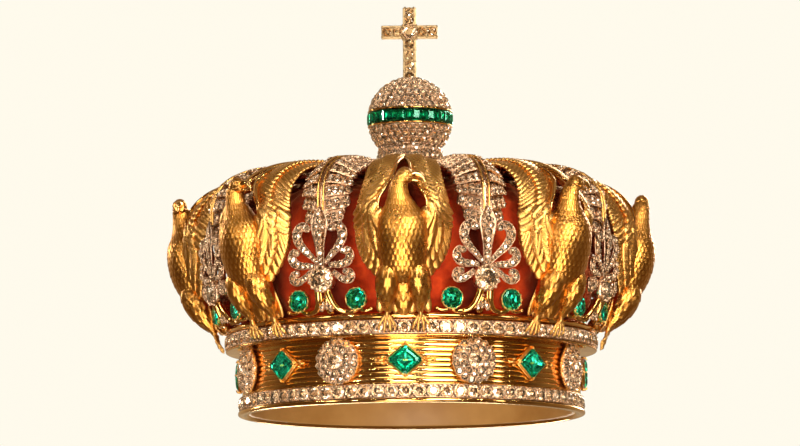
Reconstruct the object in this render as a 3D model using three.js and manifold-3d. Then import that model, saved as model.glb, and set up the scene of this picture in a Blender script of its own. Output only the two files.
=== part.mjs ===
// An arched crown in gold: a ribbed circlet between two rows of brilliants, eight standing eagles whose wings
// rise and meet as arches, eight palmettes with leafy arches between them, a velvet cap, an orb and a cross.
// Millimetres, +Z up. The origin is the centre of the circlet's underside, and the first eagle faces -Y.
import * as THREE from "three";
import { mergeVertices } from "three/addons/utils/BufferGeometryUtils.js";
import Module from "manifold-3d";

const wasm = await Module();
wasm.setup();

// ---- Driving dimensions ----

const BAYS = 8; // eagles, with a palmette halfway between each pair
const BAY_ANGLE = (2 * Math.PI) / BAYS;
const GAP = 0.3; // clearance between neighbouring pieces
const RING_FLATS = 32; // flats round the circlet's rings, a multiple of 2 * BAYS
const BAR_SIDES = 4;
const BAR_STEPS = 3; // straight lengths in a curled bar

const BAND_RADIUS = 52.4; // outside of the ribbed band
const BAND_WALL = 1.2;
const FOOT_HEIGHT = 1.2; // plain rim under the lower row of stones
const ROW_HEIGHT = 4; // height of each row of stones
const LOWER_ROW_RADIUS = 53.6;
const UPPER_ROW_RADIUS = 57.9;
const BAND_FIELD = 13.8; // height of the field between the two rows
const RIBS = 9;
const MOULDING_HEIGHT = 2.3;

const LOWER_ROW_Z = FOOT_HEIGHT + GAP;
const FIELD_Z = LOWER_ROW_Z + ROW_HEIGHT + GAP;
const SHELF_Z = FIELD_Z + BAND_FIELD; // shelf that carries the upper row
const UPPER_ROW_Z = SHELF_Z + 0.5 + GAP;
const MOULDING_Z = UPPER_ROW_Z + ROW_HEIGHT + GAP;
const CIRCLET_TOP = MOULDING_Z + MOULDING_HEIGHT;
const FIELD_MIDDLE = FIELD_Z + BAND_FIELD / 2;

const HUB_RADIUS = 11.6; // disc under the orb, where the sixteen arches meet
const HUB_Z = 74.3;
const HUB_TOP = 78.6;
const STUD_RADIUS = 1; // bolt through hub, pedestal and orb into the foot of the cross
const BOLT_HEAD = { radius: 4, height: 1.4 };

const ORB_RADIUS = 12.9;
const ORB_Z = 92.7;
const ORB_WALL = 1;
const BELT_HEIGHT = 3.7;
const BELT_RADIUS = 13.4;
const ORB_FLATS = 20;

const CROSS = { foot: 105.9, top: 128, arms: 120.3, span: 17.6, bar: 4.2, depth: 3.4 };

// ---- Materials ----

const MATERIALS = {
  gold: { color: 0xc8922e, roughness: 0.28, metalness: 1 },
  leather: { color: 0x9a6a34, roughness: 0.7, metalness: 0 },
  velvet: { color: 0x9e2a14, roughness: 0.95, metalness: 0 },
  brilliants: { color: 0xd9cfc4, roughness: 0.1, metalness: 0.6 },
  emerald: { color: 0x12805a, roughness: 0.08, metalness: 0.1 },
};

// ---- Geometry helpers ----

// A point x to the side, r from the crown's axis and z up, in the bay that faces -Y.
function at(x, r, z) {
  return new THREE.Vector3(x, -r, z);
}

function toSolid(geometry) {
  const bare = geometry.clone();
  bare.deleteAttribute("normal");
  bare.deleteAttribute("uv");
  const merged = mergeVertices(bare, 1e-4);
  const mesh = new wasm.Mesh({
    numProp: 3,
    vertProperties: merged.attributes.position.array,
    triVerts: new Uint32Array(merged.index.array),
  });
  return new wasm.Manifold(mesh);
}

function toGeometry(solid) {
  const mesh = solid.getMesh();
  return new THREE.BufferGeometry()
    .setAttribute("position", new THREE.BufferAttribute(mesh.vertProperties, 3))
    .setIndex(new THREE.BufferAttribute(mesh.triVerts, 1));
}

function joined(...geometries) {
  const [first, ...rest] = geometries.map(toSolid);
  return toGeometry(rest.reduce((whole, piece) => whole.add(piece), first));
}

// A ring or a turned piece about +Z, from a closed profile of [radius, height] pairs that goes up the outside.
function turned(profile, flats = RING_FLATS) {
  const points = profile.map(([radius, height]) => new THREE.Vector2(radius, height));
  return new THREE.LatheGeometry([...points, points[0].clone()], flats).rotateX(Math.PI / 2);
}

// Points of a circular arc in a profile, with angles in degrees above the horizontal.
function arc(radius, centreZ, from, to, steps) {
  return Array.from({ length: steps + 1 }, (_, i) => {
    const angle = THREE.MathUtils.degToRad(from + ((to - from) * i) / steps);
    return [radius * Math.cos(angle), centreZ + radius * Math.sin(angle)];
  });
}

// A bar along a smooth curve through the given points.
function bar(points, radius) {
  const outline = new THREE.Shape(
    Array.from({ length: BAR_SIDES }, (_, i) => {
      const angle = (2 * Math.PI * i) / BAR_SIDES;
      return new THREE.Vector2(radius * Math.cos(angle), radius * Math.sin(angle));
    }),
  );
  const path = new THREE.CatmullRomCurve3(points);
  return new THREE.ExtrudeGeometry(outline, { extrudePath: path, steps: BAR_STEPS, bevelEnabled: false });
}

// A plate cut to a shape in the x and z directions, whose back is at radius r.
function plate(shape, thickness, r) {
  const flat = new THREE.ExtrudeGeometry(shape, { depth: thickness, bevelEnabled: false, curveSegments: 2 });
  return flat.rotateX(Math.PI / 2).translate(0, -r, 0);
}

// Moves every vertex of a closed geometry through a function.
function warped(geometry, move) {
  const position = geometry.attributes.position;
  const vertex = new THREE.Vector3();
  for (let i = 0; i < position.count; i++) {
    vertex.fromBufferAttribute(position, i);
    position.setXYZ(i, ...move(vertex.clone()).toArray());
  }
  return geometry;
}

// Rows of [radius, height, ...sizes] along an ornament: a smooth line through the first two, its outward normal,
// and the sizes in between, for t from 0 to 1.
class Stations {
  constructor(rows) {
    this.line = new THREE.CatmullRomCurve3(rows.map(([radius, height]) => at(0, radius, height)));
    this.sizes = rows.map((row) => row.slice(2));
    this.count = rows.length;
  }

  point(t) {
    return this.line.getPoint(t);
  }

  outward(t) {
    return new THREE.Vector3(1, 0, 0).cross(this.line.getTangent(t)).normalize();
  }

  size(column, t) {
    const place = THREE.MathUtils.clamp(t, 0, 1) * (this.count - 1);
    const row = Math.min(Math.floor(place), this.count - 2);
    return THREE.MathUtils.lerp(this.sizes[row][column], this.sizes[row + 1][column], place - row);
  }
}

// A body of oval cross-section along stations of [radius, height, half width, half depth], moved aside by x.
function limb(rows, x = 0, sides = 6) {
  const stations = new Stations(rows);
  const stick = new THREE.CylinderGeometry(1, 1, 1, sides, rows.length - 1);
  return warped(stick, (v) => {
    const t = v.y + 0.5;
    return stations
      .point(t)
      .add(new THREE.Vector3(x + v.x * stations.size(0, t), 0, 0))
      .addScaledVector(stations.outward(t), v.z * stations.size(1, t));
  });
}

// A sheet along stations of [radius, height, inner edge, outer edge, sweep], on one side of the bay.
// The sweep is how far the outer edge falls back behind the line.
function wing(rows, side, thickness) {
  const stations = new Stations(rows);
  const sheet = new THREE.BoxGeometry(1, 1, 1, 1, rows.length - 1, 1);
  return warped(sheet, (v) => {
    const t = v.y + 0.5;
    const across = side > 0 ? v.x + 0.5 : 0.5 - v.x;
    const x = THREE.MathUtils.lerp(stations.size(0, t), stations.size(1, t), across);
    const depth = (v.z - 0.5) * thickness - stations.size(2, t) * across;
    return stations
      .point(t)
      .add(new THREE.Vector3(side * x, 0, 0))
      .addScaledVector(stations.outward(t), depth);
  });
}

// A curved strip down the middle of the bay, along stations of [radius, height, half width, sweep].
function strip(rows, thickness) {
  const stations = new Stations(rows);
  const sheet = new THREE.BoxGeometry(1, 1, 1, 2, rows.length - 1, 1);
  return warped(sheet, (v) => {
    const t = v.y + 0.5;
    const across = 2 * v.x;
    return stations
      .point(t)
      .add(new THREE.Vector3(across * stations.size(0, t), 0, 0))
      .addScaledVector(stations.outward(t), (v.z - 0.5) * thickness - stations.size(1, t) * across ** 2);
  });
}

// ---- Circlet ----

function circletBand() {
  const inner = BAND_RADIUS - BAND_WALL;
  const pitch = BAND_FIELD / RIBS;
  const ribs = Array.from({ length: RIBS }, (_, i) => [
    [BAND_RADIUS - 0.35, FIELD_Z + i * pitch],
    [BAND_RADIUS, FIELD_Z + (i + 0.5) * pitch],
  ]).flat();
  return turned([
    [inner, 0],
    [LOWER_ROW_RADIUS - 0.2, 0],
    [LOWER_ROW_RADIUS, FOOT_HEIGHT / 2],
    [LOWER_ROW_RADIUS - 0.2, FOOT_HEIGHT],
    [BAND_RADIUS - 0.35, FOOT_HEIGHT],
    ...ribs,
    [BAND_RADIUS - 0.35, SHELF_Z],
    [UPPER_ROW_RADIUS - 0.4, SHELF_Z],
    [UPPER_ROW_RADIUS - 0.4, SHELF_Z + 0.5],
    [BAND_RADIUS, SHELF_Z + 0.5],
    [BAND_RADIUS, MOULDING_Z - GAP],
    [inner, MOULDING_Z - GAP],
  ]);
}

function headLining() {
  const outer = BAND_RADIUS - BAND_WALL - GAP;
  return turned([
    [outer - 1.4, 0.8],
    [outer, 0.8],
    [outer, MOULDING_Z - 3],
    [outer - 1.4, MOULDING_Z - 3],
  ]);
}

// A row of round stones: a ring with a domed front.
function stoneRow(radius, z, depth) {
  return turned([
    [radius - depth, z],
    [radius - 0.7, z],
    [radius, z + ROW_HEIGHT * 0.25],
    [radius, z + ROW_HEIGHT * 0.75],
    [radius - 0.7, z + ROW_HEIGHT],
    [radius - depth, z + ROW_HEIGHT],
  ]);
}

function topMoulding() {
  const outer = UPPER_ROW_RADIUS - 0.3;
  return turned([
    [outer - 4.4, MOULDING_Z],
    [outer - 0.6, MOULDING_Z],
    [outer, MOULDING_Z + MOULDING_HEIGHT * 0.4],
    [outer - 0.5, MOULDING_Z + MOULDING_HEIGHT * 0.8],
    [outer - 1.4, CIRCLET_TOP],
    [outer - 4.4, CIRCLET_TOP],
  ]);
}

// A square emerald on its point, in a gold frame, facing along +Z before it is placed on the band.
function lozengeEmerald() {
  const cut = [
    [0, 0],
    [1, 0],
    [1, 0.9],
    [0.9, 1.4],
    [0.56, 2.5],
    [0, 2.5],
  ];
  const stone = new THREE.LatheGeometry(
    cut.map(([radius, height]) => new THREE.Vector2(radius, height)),
    4,
  );
  return stone.rotateX(Math.PI / 2).scale(6.2, 5.3, 1);
}

// A round cluster of brilliants, facing along +Z before it is placed on the band.
function clusterRosette() {
  const dome = [
    [0, 0],
    [6.4, 0],
    [6.6, 0.9],
    [5.2, 1.9],
    [2.4, 2.5],
    [0, 2.5],
  ];
  const rosette = new THREE.LatheGeometry(
    dome.map(([radius, height]) => new THREE.Vector2(radius, height)),
    10,
  );
  return rosette.rotateX(Math.PI / 2);
}

// Turns a piece that faces +Z so that it faces out of the band at mid height.
function ontoBand(geometry) {
  return geometry.rotateX(Math.PI / 2).translate(0, -(BAND_RADIUS + GAP), FIELD_MIDDLE);
}

// ---- Eagle ----

const EAGLE_BODY = [
  // radius, height, half width, half depth
  [64.0, 34, 4.0, 2.5],
  [68.0, 42, 6.3, 5.6],
  [69.6, 50.5, 6.5, 6.2],
  [70.6, 58, 4.4, 4.0],
  [71.6, 65, 2.4, 2.4],
];

const EAGLE_THIGH = [
  [61.2, 27.2, 1.1, 1.1],
  [63.2, 31.5, 3.0, 3.0],
  [65.6, 36.5, 4.1, 4.2],
  [66.8, 42, 3.4, 3.6],
];

const EAGLE_TAIL = [
  // radius, height, half width, sweep
  [59.4, 26.9, 8.2, 1.0],
  [61.0, 31, 7.0, 0.8],
  [63.4, 38, 5.2, 0.5],
];

const EAGLE_WING = [
  // radius, height, inner edge, outer edge, sweep
  [65.0, 36.5, 4.0, 8.2, 0.6],
  [67.0, 42, 3.4, 12.0, 4.0],
  [68.5, 50, 4.0, 14.1, 6.2],
  [68.2, 57, 6.4, 14.0, 6.4],
  [65.2, 65.2, 6.4, 12.2, 5.2],
  [55.6, 72.9, 1.0, 9.8, 2.6],
];

// Beyond the eagle's head the two wings run together as one arch.
const EAGLE_ARCH = [
  // radius, height, half width, sweep
  [57.6, 71.8, 9.9, 2.8],
  [50.0, 75, 9.2, 2.0],
  [38.0, 76, 7.1, 1.5],
  [HUB_RADIUS + 0.5, 76.2, 2.1, 0.5],
];

const WING_THICKNESS = 1.4;
const TAIL_THICKNESS = 1.3;
const THIGH_ASIDE = 4.1;
const TANG = { width: 6, depth: 6.2, height: 3.4, distance: 58.2 }; // block that stands the eagle on the circlet
const HEAD = { radius: 71.8, height: 65, size: 2.9 };
const BEAK_LENGTH = 5;
const FOOT = { aside: 5, back: 60.2, top: 28.8, toes: 20, spread: 3.1, thickness: 1.1, lean: 0.2 };

function eagleHead() {
  const skull = new THREE.SphereGeometry(HEAD.size, 6, 4).translate(0, -HEAD.radius, HEAD.height);
  const beak = new THREE.ConeGeometry(HEAD.size * 0.6, BEAK_LENGTH, 5)
    .rotateZ(-Math.PI / 2 - 0.25)
    .translate(HEAD.size * 0.7 + BEAK_LENGTH / 2 - 0.6, -HEAD.radius - 0.6, HEAD.height - 0.7);
  return [skull, beak];
}

// Three toes that reach down over the upper row of stones.
function eagleFoot(side) {
  const { aside, back, top, toes, spread, thickness, lean } = FOOT;
  const claw = new THREE.Shape();
  const knuckle = (top + toes) / 2;
  claw.moveTo(-1, top);
  claw.lineTo(-spread - 0.5, toes + 1);
  claw.lineTo(-spread + 0.6, toes + 1);
  claw.lineTo(-0.9, knuckle);
  claw.lineTo(-0.5, toes);
  claw.lineTo(0.5, toes);
  claw.lineTo(0.9, knuckle);
  claw.lineTo(spread - 0.6, toes + 1);
  claw.lineTo(spread + 0.5, toes + 1);
  claw.lineTo(1, top);
  const foot = warped(plate(claw, thickness, back), (v) => v.setY(v.y - (v.z - top) * lean));
  return foot.translate(side * aside, 0, 0);
}

function eagle() {
  const sides = [-1, 1];
  const tang = new THREE.BoxGeometry(TANG.width, TANG.depth, TANG.height).translate(
    0,
    -TANG.distance,
    CIRCLET_TOP + GAP + TANG.height / 2,
  );
  return joined(
    limb(EAGLE_BODY),
    ...eagleHead(),
    ...sides.map((side) => limb(EAGLE_THIGH, side * THIGH_ASIDE, 5)),
    ...sides.map(eagleFoot),
    strip(EAGLE_TAIL, TAIL_THICKNESS),
    ...sides.map((side) => wing(EAGLE_WING, side, WING_THICKNESS)),
    strip(EAGLE_ARCH, WING_THICKNESS),
    tang,
  );
}

// ---- Palmette, its bracket and its leafy arch ----

const PALMETTE_STONE = { radius: 3.8, height: 36.5 };
const PALMETTE_BAR = 0.85;

// Half of the palmette's curled leaves, as points to the side and up.
const VOLUTES = [
  [
    [0.9, 40.6],
    [5.2, 44.8],
    [8.0, 49.4],
    [6.6, 52.4],
    [4.0, 51.6],
  ],
  [
    [1.8, 39.8],
    [6.4, 40.7],
    [10.6, 42.4],
    [9.4, 45],
  ],
  [
    [2.4, 38.2],
    [6.4, 36.6],
    [10.2, 36.2],
    [9.6, 38.4],
  ],
];

const PALM_ARCH = [
  // radius, height, half width, sweep
  [63.3, 52.6, 3.4, 0.4],
  [63.9, 56, 6.6, 1.2],
  [64.1, 60, 7.2, 1.6],
  [63.7, 64.5, 7.4, 1.7],
  [61.7, 68.4, 7.6, 1.7],
  [57.7, 72.0, 7.6, 1.7],
  [51.0, 74.9, 7.3, 1.6],
  [42.0, 75.9, 6.7, 1.3],
  [32.0, 76.1, 5.5, 1.0],
  [22.0, 76.2, 3.8, 0.7],
  [HUB_RADIUS + 0.5, 76.4, 2.0, 0.4],
];

const PALM_THICKNESS = 1.5;

// The palmette leans outwards as it rises, then follows the crown's shoulder.
function palmetteRadius(z) {
  return z < 50 ? 63.9 + (z - PALMETTE_STONE.height) * 0.13 : 65.65 - (z - 50) * 0.04;
}

function palmette() {
  const stone = new THREE.LatheGeometry(
    [
      [0, -1.7],
      [PALMETTE_STONE.radius * 0.8, -1.7],
      [PALMETTE_STONE.radius, 0.3],
      [PALMETTE_STONE.radius * 0.6, 1.9],
      [0, 1.9],
    ].map(([radius, height]) => new THREE.Vector2(radius, height)),
    8,
  )
    .rotateX(Math.PI)
    .translate(0, -palmetteRadius(PALMETTE_STONE.height), PALMETTE_STONE.height);
  const curls = [-1, 1].flatMap((side) =>
    VOLUTES.map((points) =>
      bar(
        points.map(([x, z]) => at(side * x, palmetteRadius(z), z)),
        PALMETTE_BAR,
      ),
    ),
  );
  const leaf = limb(
    [
      [palmetteRadius(38.5), 38.5, 0.7, 0.8],
      [palmetteRadius(46), 46, 1.5, 1],
      [palmetteRadius(52.5), 52.5, 2.7, 1.1],
      [palmetteRadius(58), 58, 0.3, 0.4],
    ],
    0,
    4,
  );
  return joined(stone, leaf, ...curls);
}

function palmArch() {
  return strip(PALM_ARCH, PALM_THICKNESS);
}

const COLLET = { aside: 9.4, radius: 3.2, distance: 58.6, height: 30.8, depth: 2.2 };
const WIRE = 0.6;

// A bell-shaped bracket under the palmette, with a waved wire and a small collet on each side.
function bracket() {
  const foot = CIRCLET_TOP + GAP;
  const bell = new THREE.Shape();
  bell.moveTo(-6, foot);
  bell.lineTo(-3, foot);
  bell.quadraticCurveTo(-1.4, foot + 2.4, 0, foot + 3.6);
  bell.quadraticCurveTo(1.4, foot + 2.4, 3, foot);
  bell.lineTo(6, foot);
  bell.quadraticCurveTo(3.4, foot + 1.4, 2.2, foot + 5);
  bell.lineTo(-2.2, foot + 5);
  bell.quadraticCurveTo(-3.4, foot + 1.4, -6, foot);
  const lean = (v) => v.setY(v.y - (v.z - foot) * 0.85);
  const sideWires = [-1, 1].map((side) =>
    bar(
      [
        at(side * 4.4, COLLET.distance, foot + WIRE + 0.2),
        at(side * 7, COLLET.distance, foot + WIRE),
        at(side * COLLET.aside, COLLET.distance, COLLET.height - COLLET.radius + 0.8),
      ],
      WIRE,
    ),
  );
  const collets = [-1, 1].map((side) =>
    new THREE.CylinderGeometry(COLLET.radius, COLLET.radius * 0.8, COLLET.depth, 6)
      .rotateX(Math.PI)
      .translate(side * COLLET.aside, -COLLET.distance, COLLET.height),
  );
  return joined(warped(plate(bell, 1.5, 57.9), lean), ...sideWires, ...collets);
}

// ---- Cap and finial ----

function velvetCap() {
  const outline = new THREE.SplineCurve(
    [
      [52.0, 26.5],
      [56.4, 36],
      [57.0, 48],
      [54.0, 60],
      [46.6, 67.4],
      [36.0, 70.8],
      [22.0, 72.0],
      [8.0, 72.2],
    ].map(([radius, height]) => new THREE.Vector2(radius, height)),
  );
  const thickness = 1.3;
  const steps = 7;
  const outside = outline.getPoints(steps);
  const inside = outside.map((point, i) => {
    const tangent = outline.getTangent(i / steps);
    return new THREE.Vector2(point.x - tangent.y * thickness, point.y + tangent.x * thickness);
  });
  const hem = [
    [50.2, MOULDING_Z - 3 + GAP],
    [50.9, MOULDING_Z - 3 + GAP],
    [51.0, MOULDING_Z],
  ];
  const profile = [...outside, ...inside.reverse()].map((point) => [point.x, point.y]);
  return turned([...hem, ...profile]);
}

function archHub() {
  const bore = STUD_RADIUS + GAP;
  return turned(
    [
      [bore, HUB_Z],
      [HUB_RADIUS - 0.8, HUB_Z],
      [HUB_RADIUS, HUB_Z + 0.8],
      [HUB_RADIUS, HUB_TOP],
      [bore, HUB_TOP],
    ],
    ORB_FLATS,
  );
}

function orbPedestal() {
  const bore = STUD_RADIUS + GAP;
  const foot = HUB_TOP + GAP;
  const seat = arc(ORB_RADIUS + GAP, ORB_Z, -40, -82, 4);
  const waist = foot + 2.6;
  return turned(
    [
      [bore, foot],
      [HUB_RADIUS - 0.6, foot],
      [HUB_RADIUS - 0.8, foot + 0.8],
      [HUB_RADIUS - 1.9, waist],
      [HUB_RADIUS - 1.3, ORB_Z - 8.5],
      ...seat,
      [bore, ORB_Z - ORB_RADIUS - GAP],
    ],
    ORB_FLATS,
  );
}

function orbShell() {
  const bore = THREE.MathUtils.radToDeg(Math.asin((STUD_RADIUS + GAP) / ORB_RADIUS));
  const belt = THREE.MathUtils.radToDeg(Math.asin((BELT_HEIGHT / 2 + GAP) / ORB_RADIUS));
  const groove = ORB_RADIUS - 0.5;
  const halfGroove = BELT_HEIGHT / 2 + GAP;
  return turned(
    [
      ...arc(ORB_RADIUS, ORB_Z, -90 + bore, -belt, 4),
      [groove, ORB_Z - halfGroove],
      [groove, ORB_Z + halfGroove],
      ...arc(ORB_RADIUS, ORB_Z, belt, 90 - bore, 4),
      ...arc(ORB_RADIUS - ORB_WALL, ORB_Z, 90 - bore, -90 + bore, 6),
    ],
    ORB_FLATS,
  );
}

function orbEmeraldBelt() {
  const inner = ORB_RADIUS - 0.5 + GAP / 2;
  const half = BELT_HEIGHT / 2;
  return turned(
    [
      [inner, ORB_Z - half],
      [BELT_RADIUS - 0.2, ORB_Z - half],
      [BELT_RADIUS, ORB_Z - half * 0.6],
      [BELT_RADIUS, ORB_Z + half * 0.6],
      [BELT_RADIUS - 0.2, ORB_Z + half],
      [inner, ORB_Z + half],
    ],
    ORB_FLATS,
  );
}

function cross() {
  const { foot, top, arms, span, bar: width, depth } = CROSS;
  const upright = new THREE.BoxGeometry(width, depth, top - foot).translate(0, 0, (top + foot) / 2);
  const beam = new THREE.BoxGeometry(span, depth, width).translate(0, 0, arms);
  const socketDepth = 3.4;
  const socket = new THREE.CylinderGeometry(STUD_RADIUS + 0.25, STUD_RADIUS + 0.25, 2 * socketDepth, 12)
    .rotateX(Math.PI / 2)
    .translate(0, 0, foot);
  return toGeometry(toSolid(upright).add(toSolid(beam)).subtract(toSolid(socket)));
}

function finialBolt() {
  const headTop = HUB_Z - GAP;
  const profile = [
    [0, headTop - BOLT_HEAD.height],
    [BOLT_HEAD.radius - 0.6, headTop - BOLT_HEAD.height],
    [BOLT_HEAD.radius, headTop],
    [STUD_RADIUS, headTop],
    [STUD_RADIUS, CROSS.foot + 3],
    [0, CROSS.foot + 3],
  ].map(([radius, height]) => new THREE.Vector2(radius, height));
  return new THREE.LatheGeometry(profile, 12).rotateX(Math.PI / 2);
}

// ---- Assembly ----

const crown = new THREE.Group();

function add(name, geometry, finish, parent = crown) {
  const mesh = new THREE.Mesh(geometry, new THREE.MeshStandardMaterial(MATERIALS[finish]));
  mesh.name = name;
  parent.add(mesh);
}

// One copy in each bay, starting offset bays round from the front.
function addRound(name, geometry, finish, offset = 0) {
  for (let i = 0; i < BAYS; i++) {
    const bay = new THREE.Group();
    bay.rotation.z = (i + offset) * BAY_ANGLE;
    add(`${name}_${i + 1}`, geometry, finish, bay);
    crown.add(bay);
  }
}

add("circlet_band", circletBand(), "gold");
add("head_lining", headLining(), "leather");
add("lower_stone_row", stoneRow(LOWER_ROW_RADIUS, LOWER_ROW_Z, 1.2), "brilliants");
add("upper_stone_row", stoneRow(UPPER_ROW_RADIUS, UPPER_ROW_Z, 5.2), "brilliants");
add("top_moulding", topMoulding(), "gold");
add("velvet_cap", velvetCap(), "velvet");
addRound("lozenge_emerald", ontoBand(lozengeEmerald()), "emerald");
addRound("cluster_rosette", ontoBand(clusterRosette()), "brilliants", 0.5);
addRound("eagle", eagle(), "gold");
addRound("palmette", palmette(), "brilliants", 0.5);
addRound("palm_arch", palmArch(), "brilliants", 0.5);
addRound("palmette_bracket", bracket(), "gold", 0.5);
add("arch_hub", archHub(), "gold");
add("orb_pedestal", orbPedestal(), "brilliants");
add("orb_shell", orbShell(), "brilliants");
add("orb_emerald_belt", orbEmeraldBelt(), "emerald");
add("cross", cross(), "brilliants");
add("finial_bolt", finialBolt(), "gold");

export default crown;
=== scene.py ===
import math

import bmesh
import bpy
import numpy as np
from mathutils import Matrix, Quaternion, Vector


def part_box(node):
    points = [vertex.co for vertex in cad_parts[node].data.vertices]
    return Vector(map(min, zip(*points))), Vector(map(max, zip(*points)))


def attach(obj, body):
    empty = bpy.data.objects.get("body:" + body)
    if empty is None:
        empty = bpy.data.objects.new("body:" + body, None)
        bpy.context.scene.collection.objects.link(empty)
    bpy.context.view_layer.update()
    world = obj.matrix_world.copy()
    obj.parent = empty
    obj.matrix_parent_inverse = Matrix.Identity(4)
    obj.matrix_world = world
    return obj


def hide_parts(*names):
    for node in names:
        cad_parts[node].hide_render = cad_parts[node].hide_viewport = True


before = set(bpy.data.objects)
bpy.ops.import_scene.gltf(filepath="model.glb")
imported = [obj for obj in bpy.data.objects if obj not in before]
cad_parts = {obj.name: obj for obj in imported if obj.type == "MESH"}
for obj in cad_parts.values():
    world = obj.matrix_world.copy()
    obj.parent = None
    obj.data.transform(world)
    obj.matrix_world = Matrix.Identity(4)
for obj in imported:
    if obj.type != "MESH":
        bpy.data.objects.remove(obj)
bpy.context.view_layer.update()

random = np.random.default_rng(20)

MM = 0.001
TAU = 2 * math.pi
BAYS = 8
GAP = 0.3


# ---- Places, from the frame ----

def box(node):
    low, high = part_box(node)
    return np.array(low) / MM, np.array(high) / MM


lower_low, lower_high = box("lower_stone_row")
upper_low, upper_high = box("upper_stone_row")
moulding_low, moulding_high = box("top_moulding")
hub_low, hub_high = box("arch_hub")
belt_low, belt_high = box("orb_emerald_belt")
cross_low, cross_high = box("cross")
pedestal_low, pedestal_high = box("orb_pedestal")
lining_low, lining_high = box("head_lining")

BAND_RADIUS = -box("lozenge_emerald_1")[1][1] - GAP
BAND_INSIDE = BAND_RADIUS - 1.2
FIELD_LOW = lower_high[2] + GAP
SHELF_Z = upper_low[2] - GAP - 0.5
FIELD_MIDDLE = (FIELD_LOW + SHELF_Z) / 2
CIRCLET_TOP = moulding_high[2]
LOWER_RADIUS = lower_high[0]
UPPER_RADIUS = upper_high[0]
HUB_RADIUS = hub_high[0]
ORB_Z = (belt_low[2] + belt_high[2]) / 2
ORB_RADIUS = belt_high[0] - 0.5


# ---- Mesh helpers ----

GOLD, POLISHED, SETTING, DIAMOND, FOIL, WARM_FOIL, SHADED_FOIL = range(7)
EMERALD, EMERALD_FOIL, DEEP_FOIL, VELVET, LINING, SHADED_GOLD = range(7, 13)


class Shape:
    """Points and faces gathered for one piece, in millimetres. Each group of faces has a finish.

    Each point also has a number that the material reads: the phase of the fine lines on a feather, or the
    painted shade that darkens the velvet under the arches.
    """

    def __init__(self):
        self.points = []
        self.groups = []
        self.barbs_and_painted_velvet_shade = []
        self.size = 0

    def add(self, points, groups, barbs_and_painted_velvet_shade=None):
        """Adds points, groups of (faces, finish, smooth) and the number at each point."""
        points = np.asarray(points, float).reshape(-1, 3)
        phases = np.zeros(len(points)) if barbs_and_painted_velvet_shade is None else np.asarray(barbs_and_painted_velvet_shade, float).ravel()
        self.points.append(points)
        self.barbs_and_painted_velvet_shade.append(phases)
        for faces, finish, smooth in groups:
            faces = np.asarray(faces, int)
            finishes = np.broadcast_to(finish, (len(faces),))
            self.groups.append((faces + self.size, finishes, smooth))
        self.size += len(points)

    def mesh(self, name):
        faces = [face for group, _, _ in self.groups for face in group.tolist()]
        finishes = np.concatenate([finish for _, finish, _ in self.groups])
        smooth = np.concatenate([np.full(len(group), flag) for group, _, flag in self.groups])
        used = sorted(set(finishes.tolist()))
        mesh = bpy.data.meshes.new(name)
        mesh.from_pydata((np.concatenate(self.points) * MM).tolist(), [], faces)
        mesh.polygons.foreach_set("material_index", np.searchsorted(used, finishes).astype(np.int32))
        mesh.polygons.foreach_set("use_smooth", smooth.astype(bool))
        barbs_and_painted_velvet_shade = mesh.attributes.new("barbs_and_painted_velvet_shade", "FLOAT", "POINT")
        barbs_and_painted_velvet_shade.data.foreach_set("value", np.concatenate(self.barbs_and_painted_velvet_shade).astype(np.float32))
        for finish in used:
            mesh.materials.append(MATERIALS[finish])
        editable = bmesh.new()
        editable.from_mesh(mesh)
        bmesh.ops.recalc_face_normals(editable, faces=editable.faces)
        editable.to_mesh(mesh)
        editable.free()
        mesh.update()
        return mesh


def linked(name, data):
    """A new object in the scene."""
    made = bpy.data.objects.new(name, data)
    bpy.context.scene.collection.objects.link(made)
    return made


def piece(name, mesh, replaced=(), turn=0.0):
    """A piece of the crown, turned about its axis. It rides on the crown and stands for CAD nodes."""
    made = linked(name, mesh)
    made.rotation_euler.z = turn
    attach(made, "root")
    if replaced:
        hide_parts(*replaced)
    return made


def single(name, shape, node):
    """The one piece of its kind, which stands for one CAD node."""
    return piece(name, shape.mesh(name), [node])


def round_the_bays(name, shape, node, offset=0.0):
    """One copy of a shape in each bay, which stands for that bay's CAD node."""
    mesh = shape.mesh(name)
    for i in range(BAYS):
        replaced = [f"{node}_{i + 1}"] if node else []
        piece(f"{name}_{i + 1}", mesh, replaced, (i + offset) * TAU / BAYS)


def unit(vectors):
    return vectors / np.maximum(np.linalg.norm(vectors, axis=-1, keepdims=True), 1e-9)


def at(x, radius, z):
    """Points x to the side, radius from the crown's axis and z up, in the bay that faces -Y."""
    x, radius, z = np.broadcast_arrays(x, radius, z)
    return np.stack([x, -radius, z], axis=-1).astype(float)


def even_angles(count, offset=0.0):
    """Angles spaced evenly round a circle."""
    return (np.arange(count) + offset) * TAU / count


def face_circle(angles):
    """Points of a unit circle that faces -Y."""
    return np.stack([np.cos(angles), 0 * angles, np.sin(angles)], axis=-1)


def turned(points, angle):
    """Points turned about the crown's axis by an angle or by one angle each."""
    cos, sin = np.cos(angle), np.sin(angle)
    x, y, z = np.moveaxis(np.asarray(points, float), -1, 0)
    return np.stack([x * cos - y * sin, x * sin + y * cos, z + 0 * cos], axis=-1)


def spline(rows, count):
    """Count rows along a smooth line through the given rows."""
    rows = np.array(rows, float)
    ends = [2 * rows[0] - rows[1], *rows, 2 * rows[-1] - rows[-2]]
    padded = np.array(ends)
    place = np.linspace(0, len(rows) - 1, count)
    first = np.minimum(place.astype(int), len(rows) - 2)
    t = (place - first)[:, None]
    a, b, c, d = (padded[first + k] for k in range(4))
    return b + t / 2 * (c - a + t * (2 * a - 5 * b + 4 * c - d + t * (3 * b - a - 3 * c + d)))


def quads(rows, columns, closed=False):
    """Faces of a grid of points, whose columns may close on themselves."""
    across = columns if closed else columns - 1
    i, j = np.meshgrid(np.arange(rows - 1), np.arange(across), indexing="ij")
    k = (j + 1) % columns
    corners = [i * columns + j, i * columns + k, (i + 1) * columns + k, (i + 1) * columns + j]
    return np.stack(corners, axis=-1).reshape(-1, 4)


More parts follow.
